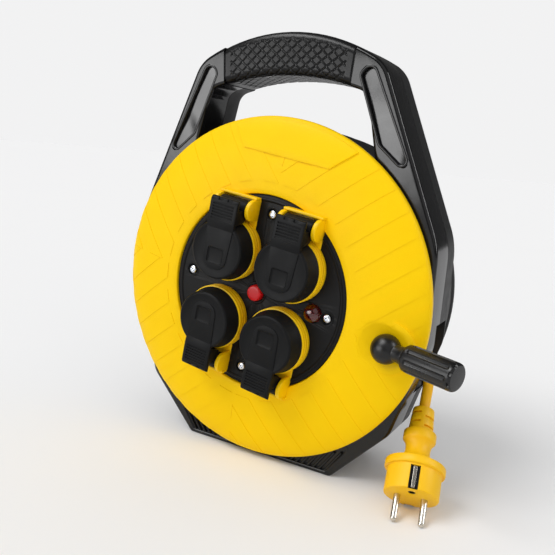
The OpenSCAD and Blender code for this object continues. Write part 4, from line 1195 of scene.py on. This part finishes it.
# %% [markdown]
# ## The plug
# The plug hangs on the lead with its pins down. Collar, concave neck, flange and body are one
# revolve, and the boot is another. Slots in the boot let it bend, a strip on each side makes
# the earth contact, and two pins stand out of its face. Dark liners in the side grooves and in
# the earth hole are painted shade: they darken those hollows where shade falls.

# %% The plug's frame and boot
PLUG_DIRECTION = Vector((0.162, -0.704, -0.692)).normalized()
PLUG_ACROSS = Vector((0.95, 0.30, 0))
PLUG_ACROSS = (PLUG_ACROSS - PLUG_DIRECTION * PLUG_ACROSS.dot(PLUG_DIRECTION)).normalized()
PLUG_SIDE = PLUG_DIRECTION.cross(PLUG_ACROSS)
PLUG_FRAME = Matrix.Translation(lead_points[-1]) @ Matrix(
    (PLUG_ACROSS, PLUG_SIDE, PLUG_DIRECTION)).transposed().to_4x4()
COLLAR, FACE = 19.0, 68.0
BOOT_PROFILE = [(0, 0), (7.3, 0), (7.8, 0.3), (8.05, 0.9), (9.25, COLLAR - 0.3), (9.25, COLLAR), (0, COLLAR)]
FIRST_SLOT, SLOT_PITCH, SLOT_OFFSET = 4.4, 7.6, 3.2

def lathe_z(name, profile, steps=128):
    """A revolve about Z of (radius, height) points."""
    piece = spun(name, profile, steps)
    place_mesh(piece, turned(90, "X"))
    return piece

def make_boot():
    boot = lathe_z("plug_sleeve", BOOT_PROFILE)
    for row in range(2):
        for side, offset in ((1, SLOT_OFFSET), (-1, 0.0)):
            z = FIRST_SLOT + row * SLOT_PITCH + offset
            x0, x1 = sorted((side * 1.5, side * 12))
            slot = box_between("slot", (x0, -12, z), (x1, 12, z + 1.5))
            cut(slot, lathe_z("core", [(0, z - 1), (6.6, z - 1), (6.6, z + 3), (0, z + 3)], 64))
            cut(boot, slot)
    return soften(boot, 0.3, 2, 40, 35)

boot = make_boot()
print("plug's boot:", len(boot.data.polygons), "faces")

# %% [markdown]
# The grooves, strips and liners come in pairs, one on each side of the plug, so one helper
# places a box by its distance from the plug's axis.

# %% The plug's body and contacts
PLUG_PROFILE = [
    (0, COLLAR), (10.9, COLLAR), (11.6, 19.3), (12, 20), (12, 25.3), (11.7, 26.2), (10.9, 27),
    (10.0, 28.3), (9.35, 30), (9.05, 32), (9.0, 34), (9.25, 36), (9.95, 38), (11.2, 39.8),
    (13.0, 41.3), (15.2, 42.4), (18, 43.4), (20.6, 44), (21.4, 44.35), (21.7, 45), (21.7, 49),
    (21.5, 49.6), (21.0, 50), (19.8, 50), (19.4, 50.4), (19.4, 67), (19.1, 67.7), (18.4, FACE), (0, FACE)]
PIN_RADIUS, PIN_OFF, PIN_ROOT, PIN_TIP = 2.38, 9.5, 66, 84.6
EARTH_RADIUS, EARTH_OFF = 2.6, 10
# The middle floor is that of the dark liners, which paint shade into the grooves.
GROOVE_FLOOR, SHADE_LINER_FLOOR, STRIP_FLOOR = 16.6, 16.75, 17.6

def side_box(name, side, x0, x1, near, far, low, high):
    """A box on one side of the plug: near and far are its distances from the plug's axis."""
    y0, y1 = sorted((side * near, side * far))
    return box_between(name, (x0, y0, low), (x1, y1, high))

def make_plug():
    body = lathe_z("plug_form", PLUG_PROFILE)
    for side in (-1, 1):
        cut(body, side_box("groove", side, -3.4, 3.4, GROOVE_FLOOR, 21, 51.2, 69))
    earth = ring_cutter("earth_hole", EARTH_RADIUS, 0, 14, 48)
    place_mesh(earth, shift(0, EARTH_OFF, FACE + 0.5) @ turned(-90, "X"))
    cut(body, earth)
    return soften(body, 0.3, 2, 40, 35)

def make_pins():
    pins = []
    for side in (-1, 1):
        tip = arc_profile(PIN_RADIUS, PIN_RADIUS, PIN_TIP, range(0, 91, 9))
        pin = lathe_z("pin", tip + [(PIN_RADIUS, PIN_ROOT), (0, PIN_ROOT)], 48)
        place_mesh(pin, shift(side * PIN_OFF, 0, 0))
        pins.append(pin)
    piece = join(pins, "plug_contact_pins")
    smooth(piece, 30)
    return piece

def make_clips():
    clips = []
    for side in (-1, 1):
        clips.append(side_box("strip", side, -1.2, 1.2, STRIP_FLOOR, 18.1, 51.6, 67.0))
        clips.append(side_box("stop", side, -1.2, 1.2, STRIP_FLOOR, 19.0, 65.6, 67.2))
    piece = join(clips, "plug_earth_strips")
    bevel(piece, 0.12, 2)
    return piece

def make_shade_liners():
    """Dark liners in the two grooves and in the earth hole, as painted shade in those hollows."""
    liners = []
    for side in (-1, 1):
        liners.append(side_box("liner", side, -3.2, 3.2, SHADE_LINER_FLOOR, 17.3, 51.3, 67.6))
        for x in (-3.25, 2.55):
            liners.append(side_box("liner", side, x, x + 0.7, SHADE_LINER_FLOOR, 18.7, 51.3, 67.6))
    for profile in ([(1.9, 55.5), (2.5, 55.5), (2.5, 67.9), (1.9, 67.9), (1.9, 55.5)],
                    [(0, 55.2), (2.5, 55.2), (2.5, 56), (0, 56)]):
        liner = lathe_z("liner", profile, 48)
        place_mesh(liner, shift(0, EARTH_OFF, 0))
        liners.append(liner)
    return join(liners, "plug_painted_shade_liners")

plug_pieces = [boot, make_plug(), make_pins(), make_clips(), make_shade_liners()]
for piece in plug_pieces:
    place_mesh(piece, PLUG_FRAME)
    print(piece.name, len(piece.data.polygons), "faces")

# %% [markdown]
# ## Dressing
# Each form takes its finish, rides on the body that carries it, and hides the CAD nodes it
# stands for. Forms without a node only add detail to the piece that they lie on.

# %% Dressing the forms
def dress(piece, finish, slot_name, body, *nodes):
    """Gives a finished piece its finish and its body, and hides the CAD nodes it stands for."""
    piece.data.materials.clear()
    piece.data.materials.append(FINISHES[finish])
    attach(piece, body)
    if nodes:
        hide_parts(*nodes)
    print("made", piece.name, len(piece.data.polygons), "faces")

dress(front, "shell_black", "black_shell", "housing", "front_shell")
dress(front_rims, "shell_black", "black_shell", "housing")
dress(panels, "panel_gloss", "black_shell", "housing")
dress(rear, "rear_black", "black_rear", "housing", "rear_shell")
dress(sleeve, "grip_rubber", "grip_rubber", "housing", "handle_grip")
dress(disc, "disc_yellow", "yellow_plastic", "reel", "front_disc")
dress(plate, "plate_black", "black_plate", "reel", "socket_plate")
dress(screws, "zinc", "zinc", "reel", "plate_screws")
dress(button, "button_red", "red_button", "button", "cutout_button")
dress(lens, "lens_red", "red_lens", "reel", "lamp_lens")
for number, (socket, lid) in enumerate(zip(sockets, lids), start=1):
    dress(socket, "socket_yellow", "socket_yellow", "reel", f"socket_{number}")
    dress(lid, "lid_rubber", "lid_rubber", f"lid_{number}", f"lid_{number}")
dress(crank_ball, "crank_black", "black_crank", "crank", "crank_stem")
dress(crank_sleeve, "crank_black", "black_crank", "grip", "crank_grip")
PLUG_ROWS = [
    ("plug_orange", "plug_rubber", "housing", "plug_boot"),
    ("plug_orange", "plug_rubber", "housing", "plug_body"),
    ("nickel", "nickel", "housing", "plug_pins"),
    ("nickel", "nickel", "housing", "plug_earth_clips"),
    # The last row dresses the dark liners, painted shade in the plug's grooves and earth hole.
    ("plate_black", "black_plate", "housing")]
for piece, row in zip(plug_pieces, PLUG_ROWS):
    dress(piece, *row)
dress(lead, "cable_orange", "cable_sheath", "housing", "cord_lead")

# %% [markdown]
# Nodes that are right as they are keep their CAD mesh and only get a finish.

# %% Dressing the CAD nodes
CAD_FINISHES = {
    "housing_screws": "steel", "axle": "rear_black", "axle_washer": "zinc", "axle_screw": "zinc",
    "drum_barrel": "disc_yellow", "rear_flange": "disc_yellow", "barrel_screws": "steel",
    "cable_core": "cable_orange", "cable_outer_layer": "cable_orange", "cutout_body": "rear_black",
    "lamp_base": "rear_black", "crank_pin": "steel"}
for number in range(1, 5):
    CAD_FINISHES[f"contacts_{number}"] = "brass"
    CAD_FINISHES[f"lid_pin_{number}"] = "steel"
for name, finish in CAD_FINISHES.items():
    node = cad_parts[name]
    if not node.material_slots:
        node.data.materials.append(FINISHES[finish])
    for slot in node.material_slots:
        slot.material = FINISHES[finish]
print("CAD nodes with a finish:", len(CAD_FINISHES))
